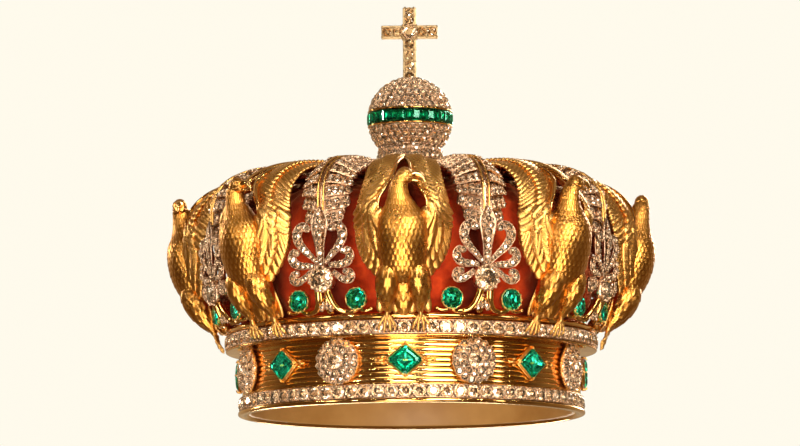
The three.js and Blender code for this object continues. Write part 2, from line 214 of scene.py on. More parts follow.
def loft(shape, sections, finish=GOLD, barbs_and_painted_velvet_shade=None):
    """A closed body through sections of shape (rows, points round, 3), with flat ends."""
    rows, loop = sections.shape[:2]
    groups = [
        (quads(rows, loop, closed=True), finish, True),
        ([np.arange(loop)], finish, False),
        ([np.arange(loop) + (rows - 1) * loop], finish, False),
    ]
    shape.add(sections, groups, barbs_and_painted_velvet_shade)


def lathe(shape, profile, segments, finish):
    """A ring about the crown's axis with a closed profile of (radius, height) pairs."""
    profile = np.array(profile, float)
    ring = turned(at(0, profile[:, 0], profile[:, 1])[:, None, :], even_angles(segments)[None, :])
    faces = quads(len(profile) + 1, segments, closed=True) % (len(profile) * segments)
    shape.add(ring, [(faces, finish, True)])


def square_directions(path):
    """Two directions square to a path and to each other, which turn as little as possible."""
    tangent = unit(np.gradient(path, axis=0))
    start = np.eye(3)[np.argmin(np.abs(tangent[0]))]
    normal = [unit(np.cross(tangent[0], start))]
    for step in tangent[1:]:
        normal.append(unit(normal[-1] - step * np.dot(normal[-1], step)))
    return np.array(normal), np.cross(tangent, normal)


def tube(shape, path, radii, sides=10, finish=POLISHED):
    """A round bar along a path, with one radius or one for each point."""
    path = np.asarray(path, float)
    radii = np.broadcast_to(radii, (len(path),))[:, None, None]
    across, up = square_directions(path)
    angles = even_angles(sides)
    cos, sin = np.cos(angles)[None, :, None], np.sin(angles)[None, :, None]
    loft(shape, path[:, None] + radii * (across[:, None] * cos + up[:, None] * sin), finish)


def ball(shape, centre, radii, finish=GOLD, rings=12, sides=20):
    """An ellipsoid with the given radii along the axes."""
    lat = np.linspace(-0.97, 0.97, rings)[:, None] * math.pi / 2
    lon = even_angles(sides)[None, :]
    surface = [np.cos(lat) * np.cos(lon), np.cos(lat) * np.sin(lon), np.sin(lat) + 0 * lon]
    loft(shape, np.asarray(centre) + np.stack(surface, axis=-1) * np.asarray(radii), finish)


class Pattern:
    """A small shape of unit width that faces +Z and is repeated, such as a cut stone."""

    def __init__(self, points, groups):
        self.points = np.array(points, float)
        self.groups = groups

    def stamp(self, shape, centres, normals, sizes=1.0, spin=0.0, stretch=(1, 1, 1)):
        """Adds a copy at each centre, facing along its normal, with a size and a stretch along its axes."""
        centres = np.asarray(centres, float).reshape(-1, 3)
        count = len(centres)
        z = unit(np.broadcast_to(normals, (count, 3)).astype(float))
        x = unit(np.cross([0.0, 0.0, 1.0], z) + 1e-9)
        y = np.cross(z, x)
        spin = np.broadcast_to(spin, (count,))[:, None]
        x, y = x * np.cos(spin) + y * np.sin(spin), y * np.cos(spin) - x * np.sin(spin)
        sizes = np.broadcast_to(sizes, (count,)).astype(float)
        local = self.points[None] * sizes[:, None, None] * np.array(stretch, float)
        basis = np.stack([x, y, z], axis=1)
        points = centres[:, None] + np.einsum("npk,nkc->npc", local, basis)
        starts = np.arange(count)[:, None, None] * len(self.points)
        groups = []
        for faces, finish, smooth in self.groups:
            faces = np.asarray(faces)
            groups.append(((faces[None] + starts).reshape(-1, faces.shape[1]), finish, smooth))
        shape.add(points, groups)


def ring_points(count, radius, z, offset=0.0):
    angles = even_angles(count, offset)
    return np.stack([radius * np.cos(angles), radius * np.sin(angles), np.full(count, z)], axis=-1)


def full_cut(foil=WARM_FOIL):
    """A round brilliant with a table, stars, kites and girdle facets over a mirrored pavilion."""
    table, star, girdle = 0.28, 0.39, 0.5
    crown, depth = 0.16, 0.36
    lower = 0.13
    slope = (crown - 0.01) / (girdle - table)
    half = math.cos(math.pi / 8)
    points = np.concatenate([
        ring_points(8, table, crown),
        ring_points(8, star, crown - (star * half - table) * slope, 0.5),
        ring_points(16, girdle, 0.01),
        ring_points(16, girdle, -0.01),
        ring_points(8, lower, -depth + lower * half * depth / girdle, 0.5),
        [[0, 0, -depth]],
    ])
    k, j = np.arange(8), np.arange(16)
    tables, stars, lowers, culet = k, 8 + k, 48 + k, 56 + 0 * k
    next_tables, last_stars, last_lowers = (k + 1) % 8, 8 + (k - 1) % 8, 48 + (k - 1) % 8
    tops, odd_tops, next_tops = 16 + 2 * k, 17 + 2 * k, 16 + (2 * k + 2) % 16
    bases, odd_bases, next_bases = tops + 16, odd_tops + 16, next_tops + 16

    def facets(*groups):
        return np.concatenate([np.stack(group, axis=1) for group in groups])

    kites = [tables, last_stars, tops, stars]
    rim = [16 + j, 32 + j, 32 + (j + 1) % 16, 16 + (j + 1) % 16]
    small_facets = [tables, stars, next_tables], [stars, tops, odd_tops], [stars, odd_tops, next_tops]
    mains = [bases, last_lowers, culet, lowers]
    halves = [bases, lowers, odd_bases], [odd_bases, lowers, next_bases]
    return Pattern(points, [
        ([tables], DIAMOND, False),
        (facets(kites, rim), DIAMOND, False),
        (facets(*small_facets), DIAMOND, False),
        (facets(mains), foil, False),
        (facets(*halves), foil, False),
    ])


def single_cut():
    """A small round stone with a table and eight facets above and below."""
    points = np.concatenate([
        ring_points(8, 0.27, 0.15, 0.5),
        ring_points(8, 0.5, 0.0, 0.5),
        [[0, 0, -0.26]],
    ])
    k = np.arange(8)
    after = (k + 1) % 8
    sides = np.stack([k, 8 + k, 8 + after, after], 1)
    below = np.stack([8 + k, 8 + after, 16 + 0 * k], 1)
    return Pattern(points, [([k], DIAMOND, False), (sides, DIAMOND, False), (below, FOIL, False)])


def step_cut(corner, foil=EMERALD_FOIL):
    """A square stone with cut corners and steps down to a narrow base."""
    outline = np.array([
        [1, 1 - corner], [1 - corner, 1], [corner - 1, 1], [-1, 1 - corner],
        [-1, corner - 1], [corner - 1, -1], [1 - corner, -1], [1, corner - 1],
    ]) / 2
    above = [(0.62, 0.2), (0.8, 0.16), (1.0, 0.02), (1.0, -0.03)]
    below = [(0.74, -0.2), (0.46, -0.34), (0.16, -0.42)]
    steps = above + below
    points = np.concatenate([np.column_stack([outline * scale, np.full(8, z)]) for scale, z in steps])
    k = np.arange(8)
    return Pattern(points, [
        ([k], EMERALD, False),
        (quads(len(above), 8, closed=True), EMERALD, False),
        (quads(len(below) + 1, 8, closed=True) + 8 * (len(above) - 1), foil, False),
        ([k + 8 * (len(steps) - 1)], foil, False),
    ])


def ring_pattern(profile, sides=16, finish=SETTING):
    """A ring with a closed profile of (radius, height), to be stamped round a stone."""
    rings = [ring_points(sides, radius, z) for radius, z in profile]
    faces = quads(len(profile) + 1, sides, closed=True) % (len(profile) * sides)
    return Pattern(np.concatenate(rings), [(faces, finish, True)])


def bead_pattern(finish=SETTING):
    """A small round grain of metal, of unit diameter."""
    rings = [ring_points(6, 0.5 * math.cos(a), 0.5 * math.sin(a)) for a in (-0.6, 0.2, 0.9)]
    points = np.concatenate([*rings, [[0, 0, 0.5]]])
    k = np.arange(6)
    tip = np.stack([12 + k, 12 + (k + 1) % 6, 18 + 0 * k], 1)
    sides = quads(3, 6, closed=True)
    return Pattern(points, [(sides, finish, True), (tip, finish, True), ([k[::-1]], finish, False)])


SMALL_STONE = single_cut()
SQUARE_CUT = step_cut(0.22)
CUSHION_CUT = step_cut(0.52)
CALIBRE_CUT = step_cut(0.12, DEEP_FOIL)
COLLET_PROFILE = [(0.49, 0.02), (0.515, 0.05), (0.545, 0.0), (0.57, -0.3), (0.5, -0.3)]
FINE_PROFILE = [(0.49, 0.0), (0.53, 0.02), (0.57, -0.06), (0.6, -0.26), (0.5, -0.26)]
FINE_COLLET = ring_pattern(FINE_PROFILE, sides=12)
BEAD = bead_pattern()
GOLD_BEAD = bead_pattern(GOLD)
SHADED_GOLD_BEAD = bead_pattern(SHADED_GOLD)
# a stone, its collet and the grain that is used for its prongs
BRIGHT_KIT = full_cut(), ring_pattern(COLLET_PROFILE), BEAD
# a darker foil and darker metal for the cross: painted shade
SHADED_GOLD_KIT = full_cut(SHADED_FOIL), ring_pattern(COLLET_PROFILE, finish=SHADED_GOLD), SHADED_GOLD_BEAD


def set_stones(shape, kit, centres, normals, sizes, uneven, rise, grains, depth=1.0):
    """Stones in collets, each tilted a little and raised, with metal grains round it.

    Grains is their count, and their distance from the middle, height and diameter in stone diameters.
    """
    stone, collet, grain = kit
    count, reach, lift, diameter = grains
    centres = np.asarray(centres, float).reshape(-1, 3)
    normals = unit(np.broadcast_to(normals, centres.shape).astype(float))
    sizes = np.broadcast_to(sizes, (len(centres),)).astype(float)
    spin = random.uniform(0, math.pi, len(centres))
    tilt = random.normal(0, uneven, centres.shape)
    centres = centres + normals * rise * sizes[:, None]
    stone.stamp(shape, centres, normals + tilt, sizes, spin, (1, 1, depth))
    collet.stamp(shape, centres, normals, sizes)
    x = unit(np.cross([0.02, 0.03, 1.0], normals))
    y = np.cross(normals, x)
    for angle in even_angles(count, 0.5):
        aside = x * math.cos(angle) + y * math.sin(angle)
        places = centres + (aside * reach + normals * lift) * sizes[:, None]
        grain.stamp(shape, places, normals, sizes * diameter)


def pave(shape, centres, normals, sizes, beads=4):
    """Small stones that stand on a surface, each in a fine rim with grains of metal round it."""
    kit = (SMALL_STONE, FINE_COLLET, BEAD)
    grains = (beads, 0.58, -0.05, 0.24)
    set_stones(shape, kit, centres, normals, sizes, uneven=0.11, rise=0.24, grains=grains)


def big_brilliants(shape, centres, normals, sizes, prongs=0, depth=1.0, kit=BRIGHT_KIT):
    """Full-cut stones in collets, with prongs bent over the girdle."""
    grains = (prongs, 0.5, 0.08, 0.17)
    set_stones(shape, kit, centres, normals, sizes, uneven=0.055, rise=0.0, grains=grains, depth=depth)


class Surface:
    """A sheet that follows a line of rows of [radius, height, inner edge, outer edge, sweep].

    A place on it is x millimetres to the side and s millimetres along the line. Sweep is how far the outer
    edge falls back, and bend how late. A sheet that is centred has its sweep on both sides.
    """

    def __init__(self, rows, side=1, centred=False, bend=2.0):
        self.table = spline(rows, 400)
        line = self.table[:, :2]
        step = np.linalg.norm(np.diff(line, axis=0), axis=1)
        self.along = np.concatenate([[0], np.cumsum(step)])
        self.length = self.along[-1]
        self.slope = unit(np.gradient(line, self.along, axis=0))
        self.side = side
        self.centred = centred
        self.bend = bend

    def column(self, index, s):
        return np.interp(s, self.along, self.table[:, index])

    def edges(self, s):
        return self.column(2, s), self.column(3, s)

    def at_height(self, z):
        rising = np.maximum.accumulate(self.table[:, 1])
        return np.interp(z, rising, self.along)

    def base(self, x, s):
        inner, outer = self.edges(s)
        share = x / outer if self.centred else (x - inner) / np.maximum(outer - inner, 0.1)
        depth = self.column(4, s) * np.abs(np.clip(share, -1.3, 1.3)) ** self.bend
        slope_r = np.interp(s, self.along, self.slope[:, 0])
        slope_z = np.interp(s, self.along, self.slope[:, 1])
        return at(self.side * x, self.column(0, s) - slope_z * depth, self.column(1, s) + slope_r * depth)

    def normal(self, x, s):
        step = 0.05
        aside = self.base(x + step, s) - self.base(x - step, s)
        along = self.base(x, s + step) - self.base(x, s - step)
        return unit(np.cross(aside, along)) * self.side

    def place(self, x, s, lift):
        x, s, lift = np.broadcast_arrays(x, s, lift)
        return self.base(x, s) + self.normal(x, s) * lift[..., None]


def feather_tiles(a, b):
    """How high round-tipped feathers stand when laid like roof tiles: a counts them across, b the rows."""
    overlap, width = 1.8, 0.56
    row = np.floor(b)
    height = np.zeros(a.shape)
    for above in (0, 1):
        t = (b - row + above) / overlap
        aside = a - 0.5 * ((row - above) % 2)
        aside = aside - np.round(aside)
        edge = width * np.sqrt(np.clip(1 - (np.clip(t - 0.45, 0, 1) / 0.55) ** 2, 1e-4, 1))
        crown = 1 - 0.5 * (aside / edge) ** 2
        shaft = 0.16 * np.exp(-((aside / 0.06) ** 2))
        lines = 0.05 * np.cos(TAU * (t * 7 - np.abs(aside) * 5))
        tile = (0.15 + 0.85 * t) * crown + shaft + lines
        height = np.where((t < 1) & (np.abs(aside) < edge), tile, height)
    return height


def blade(shape, surface, root, tip, width, lift, bow=0.0, thickness=0.35, steps=14, ribs=9):
    """A feather on a surface, from root to tip as (x, s), at lift[0] at its root and lift[1] at its tip."""
    t = 1 - (1 - np.linspace(0, 1, steps)) ** 1.3
    x = root[0] + (tip[0] - root[0]) * t + bow * np.sin(math.pi * t)
    s = root[1] + (tip[1] - root[1]) * t
    height = lift[0] + (lift[1] - lift[0]) * t ** 0.8
    line = surface.place(x, s, height)
    normal = surface.normal(x, s)
    across = unit(np.cross(normal, unit(np.gradient(line, axis=0))))
    spread = np.where(t < 0.7, 0.6 + 0.4 * np.sin(t / 0.7 * math.pi / 2), 1.0)
    rounded = np.sqrt(np.clip(1 - (np.clip(t - 0.74, 0, 1) / 0.265) ** 2, 0, 1))
    half = width / 2 * spread * np.maximum(rounded, 0.08)
    top = np.linspace(-1, 1, ribs)
    arch = 0.2 * width * (1 - np.abs(top) ** 1.8) + 0.1 * np.exp(-((top / 0.14) ** 2))
    places = np.concatenate([top, [0.8, -0.8]])
    heights = np.concatenate([arch, [-thickness, -thickness]])
    sections = (
        line[:, None]
        + across[:, None] * (half[:, None] * places)[..., None]
        + normal[:, None] * (heights[None] * np.minimum(1, half / half.max() * 1.4)[:, None])[..., None]
    )
    length = np.linalg.norm(line[-1] - line[0])
    phase = (t * length)[:, None] / 0.6 - np.abs(half[:, None] * places) / 0.66
    loft(shape, sections, barbs_and_painted_velvet_shade=phase * TAU)


# ---- Materials ----

class Nodes:
    """Short ways to add and join the shader nodes of a new material or world."""

    def __init__(self, name, kind="Material"):
        owners = {"Material": bpy.data.materials, "World": bpy.data.worlds}
        self.owner = owners[kind].new(name)
        self.owner.use_nodes = True
        self.tree = self.owner.node_tree
        self.tree.nodes.clear()
        self.output = self.tree.nodes.new("ShaderNodeOutput" + kind)

    def feed(self, socket, value):
        """Gives an input a value, or joins it to an output."""
        if isinstance(value, bpy.types.Node):
            value = value.outputs[0]
        if isinstance(value, bpy.types.NodeSocket):
            self.tree.links.new(value, socket)
        elif isinstance(value, tuple) and len(value) == 3 and socket.type == "RGBA":
            socket.default_value = (*value, 1)
        else:
            socket.default_value = value

    def new(self, kind, **inputs):
        node = self.tree.nodes.new("ShaderNode" + kind)
        for name, value in inputs.items():
            self.feed(node.inputs[name.replace("_", " ")], value)
        return node

    def noise(self, per_mm, detail=3.0, roughness=0.55):
        """Noise with so many features to a millimetre."""
        where = self.new("TexCoord").outputs["Object"]
        node = self.new("TexNoise", Vector=where, Scale=per_mm / MM, Detail=detail, Roughness=roughness)
        return node.outputs["Fac"]

    def attribute(self):
        """The number that each point of a Shape has."""
        node = self.new("Attribute")
        node.attribute_name = "barbs_and_painted_velvet_shade"
        return node.outputs["Fac"]

    def exposed(self, low, high):
        """How exposed a point is: low in the hollows and high on the edges, about 0.5 on a flat face."""
        return self.spread(self.new("NewGeometry").outputs["Pointiness"], low, high)

    def ramp(self, factor, *stops):
        node = self.new("ValToRGB", Fac=factor)
        elements = node.color_ramp.elements
        while len(elements) < len(stops):
            elements.new(0.5)
        for element, (place, *colour) in zip(elements, stops):
            element.position = place
            element.color = (*colour, 1)
        return node.outputs["Color"]

    def spread(self, factor, low, high):
        """A factor from 0 to 1, spread between two values."""
        return self.new("MapRange", Value=factor, To_Min=low, To_Max=high).outputs["Result"]

    def between(self, value, start, end):
        """How far a value is from start to end, from 0 to 1."""
        return self.new("MapRange", Value=value, From_Min=start, From_Max=end).outputs["Result"]

    def maths(self, operation, a, b=0.0):
        node = self.tree.nodes.new("ShaderNodeMath")
        node.operation = operation
        self.feed(node.inputs[0], a)
        self.feed(node.inputs[1], b)
        return node.outputs[0]

    def mix(self, factor, a, b):
        node = self.tree.nodes.new("ShaderNodeMix")
        node.data_type = "RGBA"
        colours = [socket for socket in node.inputs if socket.type == "RGBA"]
        for socket, value in zip((node.inputs[0], *colours), (factor, a, b)):
            self.feed(socket, value)
        return node.outputs[2]

    def either(self, factor, a, b):
        """One shader at factor 0 and the other at factor 1."""
        node = self.tree.nodes.new("ShaderNodeMixShader")
        for socket, value in zip(node.inputs, (factor, a, b)):
            self.feed(socket, value)
        return node

    def bump(self, height, depth_mm, strength, below=None):
        node = self.new("Bump", Height=height, Distance=depth_mm * MM, Strength=strength)
        if below:
            self.feed(node.inputs["Normal"], below)
        return node.outputs["Normal"]

    def metal(self, colour, roughness, normal):
        shader = self.new("BsdfPrincipled", Base_Color=colour, Metallic=1.0, Roughness=roughness)
        self.feed(shader.inputs["Normal"], normal)
        return self.finish(shader)

    def finish(self, shader):
        self.feed(self.output.inputs["Surface"], shader)
        return self.owner


def chased_gold():
    """Gold worked with fine punches: grainy, darkened in the hollows with painted shade and brightened on
    raised edges with a painted highlight.
    """
    n = Nodes("chased_gold")
    broad = n.noise(0.12, 2.0)
    fine = n.noise(1.5, 4.0, 0.7)
    dark, middle, bright = (0.12, 0.034, 0.004), (0.66, 0.275, 0.042), (1.0, 0.60, 0.18)
    # painted shade in the hollows and painted highlight on the raised edges, picked by pointiness
    hollow = n.ramp(n.exposed(-5.0, 6.0), (0.0, *dark), (0.45, *middle), (1.0, *bright))
    colour = n.mix(n.spread(broad, 0.0, 0.5), hollow, (0.52, 0.20, 0.035))
    worn = n.maths("ADD", n.maths("MULTIPLY", fine, 0.6), n.maths("MULTIPLY", broad, 0.4))
    lined = n.bump(n.maths("SINE", n.attribute()), 0.022, 0.6)
    return n.metal(colour, n.spread(worn, 0.16, 0.42), n.bump(fine, 0.065, 0.85, lined))


def polished_gold():
    """Burnished gold with faint scratches and clouded patches."""
    n = Nodes("polished_gold")
    cloud = n.noise(0.09)
    scratch = n.noise(3.0, 2.0)
    colour = n.ramp(cloud, (0.3, 0.72, 0.36, 0.085), (0.7, 0.94, 0.60, 0.22))
    roughness = n.spread(n.maths("MULTIPLY", cloud, scratch), 0.06, 0.26)
    return n.metal(colour, roughness, n.bump(scratch, 0.006, 0.5))


def toned_metal(name, colours, grains_per_mm, roughness, relief_mm):
    """Dull metal in three colours: the first is painted shade in its hollows and the last a painted highlight
    on its edges.
    """
    n = Nodes(name)
    grain = n.noise(grains_per_mm)
    tones = [(place, *colour) for place, colour in zip((0.0, 0.5, 1.0), colours)]
    # painted shade in the hollows and painted highlight on the edges, picked by pointiness
    colour = n.ramp(n.exposed(-4.0, 5.0), *tones)
    return n.metal(colour, n.spread(grain, *roughness), n.bump(grain, relief_mm, 0.6))


def clear_stone(name, colour, ior):
    """The upper facets of a stone: sharp glass, very slightly uneven in tint."""
    n = Nodes(name)
    pale = tuple(min(1.0, c * 1.05) for c in colour)
    deep = tuple(c * 0.9 for c in colour)
    tint = n.mix(n.noise(0.25, 2.0), deep, pale)
    return n.finish(n.new("BsdfGlass", Color=tint, Roughness=0.0, IOR=ior))


def mirror_foil(name, tints, shade, glow):
    """The lower facets of a stone: part mirror and part milky, tinted differently from facet to facet."""
    n = Nodes(name)
    tint = n.ramp(n.noise(1.1, 1.0), *tints)
    mirror = n.new("BsdfPrincipled", Base_Color=tint, Metallic=1.0, Roughness=0.03)
    milky = n.new("BsdfDiffuse", Color=n.mix(n.noise(0.8, 1.0), shade, glow))
    return n.finish(n.either(0.12, mirror, milky))


def red_velvet():
    """Deep-pile velvet: a soft nap, paler at a glancing angle, and darkened under the arches with painted
    shade.
    """
    n = Nodes("red_velvet")
    nap = n.noise(0.22, 4.0, 0.6)
    colour = n.ramp(nap, (0.3, 0.40, 0.026, 0.005), (0.55, 0.62, 0.052, 0.009), (0.8, 0.80, 0.095, 0.016))
    # painted shade: each point's number darkens the velvet under the arches
    colour = n.mix(n.attribute(), colour, (0.035, 0.004, 0.002))
    pile = n.bump(n.noise(4.5, 2.0), 0.12, 0.8, n.bump(nap, 0.5, 0.5))
    shader = n.new("BsdfPrincipled", Base_Color=colour, Roughness=n.spread(nap, 0.8, 1.0), Normal=pile)
    for name, value in (("Weight", 0.9), ("Roughness", 0.35), ("Tint", (1.0, 0.34, 0.13))):
        n.feed(shader.inputs["Sheen " + name], value)
    n.feed(shader.inputs["Specular IOR Level"], 0.15)
    return n.finish(shader)


def tan_lining():
    """Thin tan leather with a fine grain, rubbed paler in places."""
    n = Nodes("tan_lining")
    grain = n.noise(1.8)
    colour = n.ramp(n.noise(0.07), (0.3, 0.45, 0.215, 0.055), (0.7, 0.60, 0.32, 0.10))
    rough, relief = n.spread(grain, 0.35, 0.6), n.bump(grain, 0.1, 0.5)
    return n.finish(n.new("BsdfPrincipled", Base_Color=colour, Roughness=rough, Normal=relief))


# the silvery metal that holds the stones, and a darker brown copy of it for the cross, which is painted shade
SILVER_TONES = [(0.06, 0.028, 0.014), (0.38, 0.225, 0.13), (0.74, 0.51, 0.34)]
SHADED_GOLD_TONES = [(0.04, 0.02, 0.008), (0.23, 0.145, 0.07), (0.52, 0.37, 0.20)]
# place on the ramp, red, green, blue
DIAMOND_TINTS = [(0.3, 0.95, 0.72, 0.52), (0.5, 1.0, 0.88, 0.72), (0.7, 0.94, 0.91, 0.88)]
WARM_TINTS = [(0.34, 0.50, 0.34, 0.20), (0.5, 0.84, 0.70, 0.53), (0.66, 0.95, 0.93, 0.91)]
# darker tints for the stones of the cross: painted shade
SHADED_TINTS = [(0.34, 0.22, 0.13, 0.06), (0.5, 0.44, 0.31, 0.18), (0.66, 0.80, 0.72, 0.60)]
EMERALD_TINTS = [(0.3, 0.008, 0.17, 0.12), (0.5, 0.035, 0.37, 0.30), (0.7, 0.22, 0.72, 0.66)]
DEEP_TINTS = [(0.3, 0.002, 0.09, 0.05), (0.5, 0.006, 0.22, 0.13), (0.7, 0.02, 0.40, 0.26)]
# in the order of the numbers GOLD to SHADED_GOLD
MATERIALS = [
    chased_gold(),
    polished_gold(),
    toned_metal("silvered_setting", SILVER_TONES, 1.4, (0.15, 0.42), 0.03),
    clear_stone("diamond", (1.0, 0.97, 0.94), 2.2),
    mirror_foil("diamond_foil", DIAMOND_TINTS, (0.80, 0.62, 0.50), (0.95, 0.86, 0.78)),
    mirror_foil("warm_foil", WARM_TINTS, (0.60, 0.42, 0.28), (0.90, 0.80, 0.70)),
    # a darker copy of the diamond foil for the cross: painted shade
    mirror_foil("smoky_foil", SHADED_TINTS, (0.30, 0.20, 0.11), (0.50, 0.38, 0.25)),
    clear_stone("emerald", (0.50, 1.0, 0.88), 1.58),
    mirror_foil("emerald_foil", EMERALD_TINTS, (0.02, 0.30, 0.20), (0.12, 0.62, 0.48)),
    mirror_foil("deep_emerald_foil", DEEP_TINTS, (0.002, 0.14, 0.07), (0.01, 0.24, 0.14)),
    red_velvet(),
    tan_lining(),
    # a darker copy of the silvered setting for the cross: painted shade
    toned_metal("aged_gold", SHADED_GOLD_TONES, 0.35, (0.3, 0.6), 0.08),
]


# ---- Circlet ----

RIBS = 9
ROW_STONE = 3.9
RING_SEGMENTS = 320


def circlet():
    shape = Shape()
    pitch = (SHELF_Z - FIELD_LOW) / RIBS
    ribs = []
    for i in range(RIBS):
        middle = FIELD_LOW + (i + 0.5) * pitch
        for across in np.sin(np.linspace(-1, 1, 11) * math.pi / 2):
            radius = BAND_RADIUS - 0.1 * across ** 2 - 0.2 * across ** 10
            ribs.append((radius, middle + 0.48 * pitch * across))
    rim = lower_low[2] - GAP
    foot = [
        (LOWER_RADIUS - 0.1 + 0.25 * math.cos(a), rim / 2 + 0.08 + (rim / 2 - 0.08) * math.sin(a))
        for a in np.linspace(-1.4, 1.4, 7)
    ]
    bed = BAND_RADIUS - 0.85
    shelf = UPPER_RADIUS - 0.35
    lathe(shape, [
        (BAND_INSIDE, 0.0), (LOWER_RADIUS - 0.5, 0.0), *foot,
        (LOWER_RADIUS - 0.6, rim), (bed, rim + 0.15), (bed, FIELD_LOW - 0.45),
        (BAND_RADIUS + 0.15, FIELD_LOW - 0.35), (BAND_RADIUS + 0.15, FIELD_LOW - 0.1),
        *ribs,
        (BAND_RADIUS, SHELF_Z + 0.02), (shelf - 0.6, SHELF_Z + 0.02), (shelf - 0.12, SHELF_Z + 0.1),
        (shelf, SHELF_Z + 0.3), (shelf - 0.15, SHELF_Z + 0.5), (shelf - 2.4, SHELF_Z + 0.5),
        (shelf - 2.4, moulding_low[2] - GAP), (BAND_INSIDE, moulding_low[2] - GAP),
    ], RING_SEGMENTS, POLISHED)
    single("circlet_body", shape, "circlet_band")


def stone_row(name, node, radius, low, high):
    """A row of brilliants in collets, with grains between them, and the fine rims above and below."""
    shape = Shape()
    middle = (low + high) / 2
    seat = radius - 0.62
    count = round(TAU * seat / (ROW_STONE * 1.07))
    angles = even_angles(count)
    centres = turned(at(0, seat, middle), angles)
    outward = turned(at(0, 1, 0), angles)
    sizes = ROW_STONE * random.uniform(0.95, 1.0, count)
    big_brilliants(shape, centres, outward, sizes)
    between = angles + math.pi / count
    for z in (low + 0.5, high - 0.5):
        BEAD.stamp(shape, turned(at(0, seat + 0.1, z), between), turned(at(0, 1, 0), between), 0.85)
        BEAD.stamp(shape, turned(at(0, seat + 0.2, z), angles), outward, 0.45)
    for z in (low + 0.08, high - 0.08):
        lathe(shape, [
            (seat - 1.0, z - 0.14), (seat + 0.12, z - 0.14), (seat + 0.28, z),
            (seat + 0.12, z + 0.14), (seat - 1.0, z + 0.14),
        ], 240, SETTING)
    single(name, shape, node)


def moulding():
    shape = Shape()
    low, high, outer = moulding_low[2], moulding_high[2], moulding_high[0]
    height = high - low
    bead = [
        (outer - 0.9 + 0.9 * math.cos(a), low + 0.45 * height + 0.42 * height * math.sin(a))
        for a in np.linspace(-1.35, 1.2, 9)
    ]
    lathe(shape, [
        (outer - 4.4, low), (outer - 0.9, low), *bead,
        (outer - 1.0, low + 0.9 * height), (outer - 1.5, high), (outer - 2.2, high - 0.25),
        (outer - 4.4, high - 0.25),
    ], RING_SEGMENTS, POLISHED)
    single("moulding", shape, "top_moulding")


def lining():
    shape = Shape()
    inner, outer = lining_high[0] - 1.4, lining_high[0]
    low, high = lining_low[2], lining_high[2]
    lathe(shape, [
        (inner + 0.3, low), (outer - 0.3, low), (outer, low + 0.3), (outer, high - 0.2),
        (inner + 0.4, high), (inner + 0.1, high - 0.5), (inner - 0.15, (low + high) / 2), (inner, low + 0.4),
    ], 192, LINING)
    single("inner_lining", shape, "head_lining")


def lozenge():
    """A square emerald on its point, in a stepped frame with claws at its corners and sprays beside it."""
    shape = Shape()
    face = BAND_RADIUS + 0.3
    width, height = 11.2, 9.6
    side = math.hypot(width, height) / 2
    wider = math.sqrt(width / height)
    stone = Shape()
    SQUARE_CUT.stamp(stone, [[0, 0, 0]], at(0, 1, 0), spin=math.pi / 4, stretch=(side, side, 3.5))
    points = stone.points[0] * [wider, 1, 1 / wider]
    shape.add(points + at(0, face + 1.15, FIELD_MIDDLE), stone.groups)
    corners = np.array([[1, 0], [0, 1], [-1, 0], [0, -1]], float) * [width / 2, height / 2]
    for lift, inset, radius in ((0.15, 1.02, 0.4), (0.8, 0.985, 0.24)):
        for a, b in zip(corners, np.roll(corners, -1, axis=0)):
            ends = np.linspace(a, b, 6) * inset
            tube(shape, at(ends[:, 0], face + lift, FIELD_MIDDLE + ends[:, 1]), radius, finish=GOLD)
    claw = ((1.04, 0), (1.02, 1.2), (0.88, 1.65))
    for x, z in corners:
        path = [at(x * reach, face + lift, FIELD_MIDDLE + z * reach) for reach, lift in claw]
        tube(shape, spline(path, 8), np.linspace(0.36, 0.24, 8), finish=GOLD)
    for sign in (-1, 1):
        for spread, length in ((-0.9, 1.5), (0.0, 2.3), (0.9, 1.5)):
            x = sign * (width / 2 + 0.5 + length * 0.55)
            ball(shape, at(x, face + 0.2, FIELD_MIDDLE + spread), (length / 2, 0.45, 0.42), GOLD, 8, 10)
        ball(shape, at(sign * (width / 2 + 3.2), face + 0.2, FIELD_MIDDLE), (0.45, 0.4, 0.45), GOLD, 8, 10)
    return shape


def rosette():
    """A round cluster: a large brilliant within two rings of small ones, on a gold cup."""
    shape = Shape()
    face = BAND_RADIUS + 0.2
    out = at(0, 1, 0)
    profile = [(0.2, 0), (0.47, 0), (0.5, 0.05), (0.49, 0.12), (0.42, 0.15), (0.3, 0.19), (0.15, 0.22)]
    cup = ring_pattern(profile, 40)
    cup.stamp(shape, [at(0, face, FIELD_MIDDLE)], out, stretch=(13.6, 13.6, 11.0))
    big_brilliants(shape, [at(0, face + 3.0, FIELD_MIDDLE)], out, 4.7, prongs=8)
    for count, distance, size, lift, lean in ((10, 3.75, 2.2, 2.25, 0.28), (16, 5.8, 2.15, 1.5, 0.55)):
        aside = face_circle(even_angles(count, 0.5))
        pave(shape, at(0, face + lift, FIELD_MIDDLE) + aside * distance, out + aside * lean, size, 3)
    rim = face_circle(even_angles(48)) * 6.75
    GOLD_BEAD.stamp(shape, at(0, face + 0.75, FIELD_MIDDLE) + rim, out, 0.55)
    return shape


# ---- Eagle ----

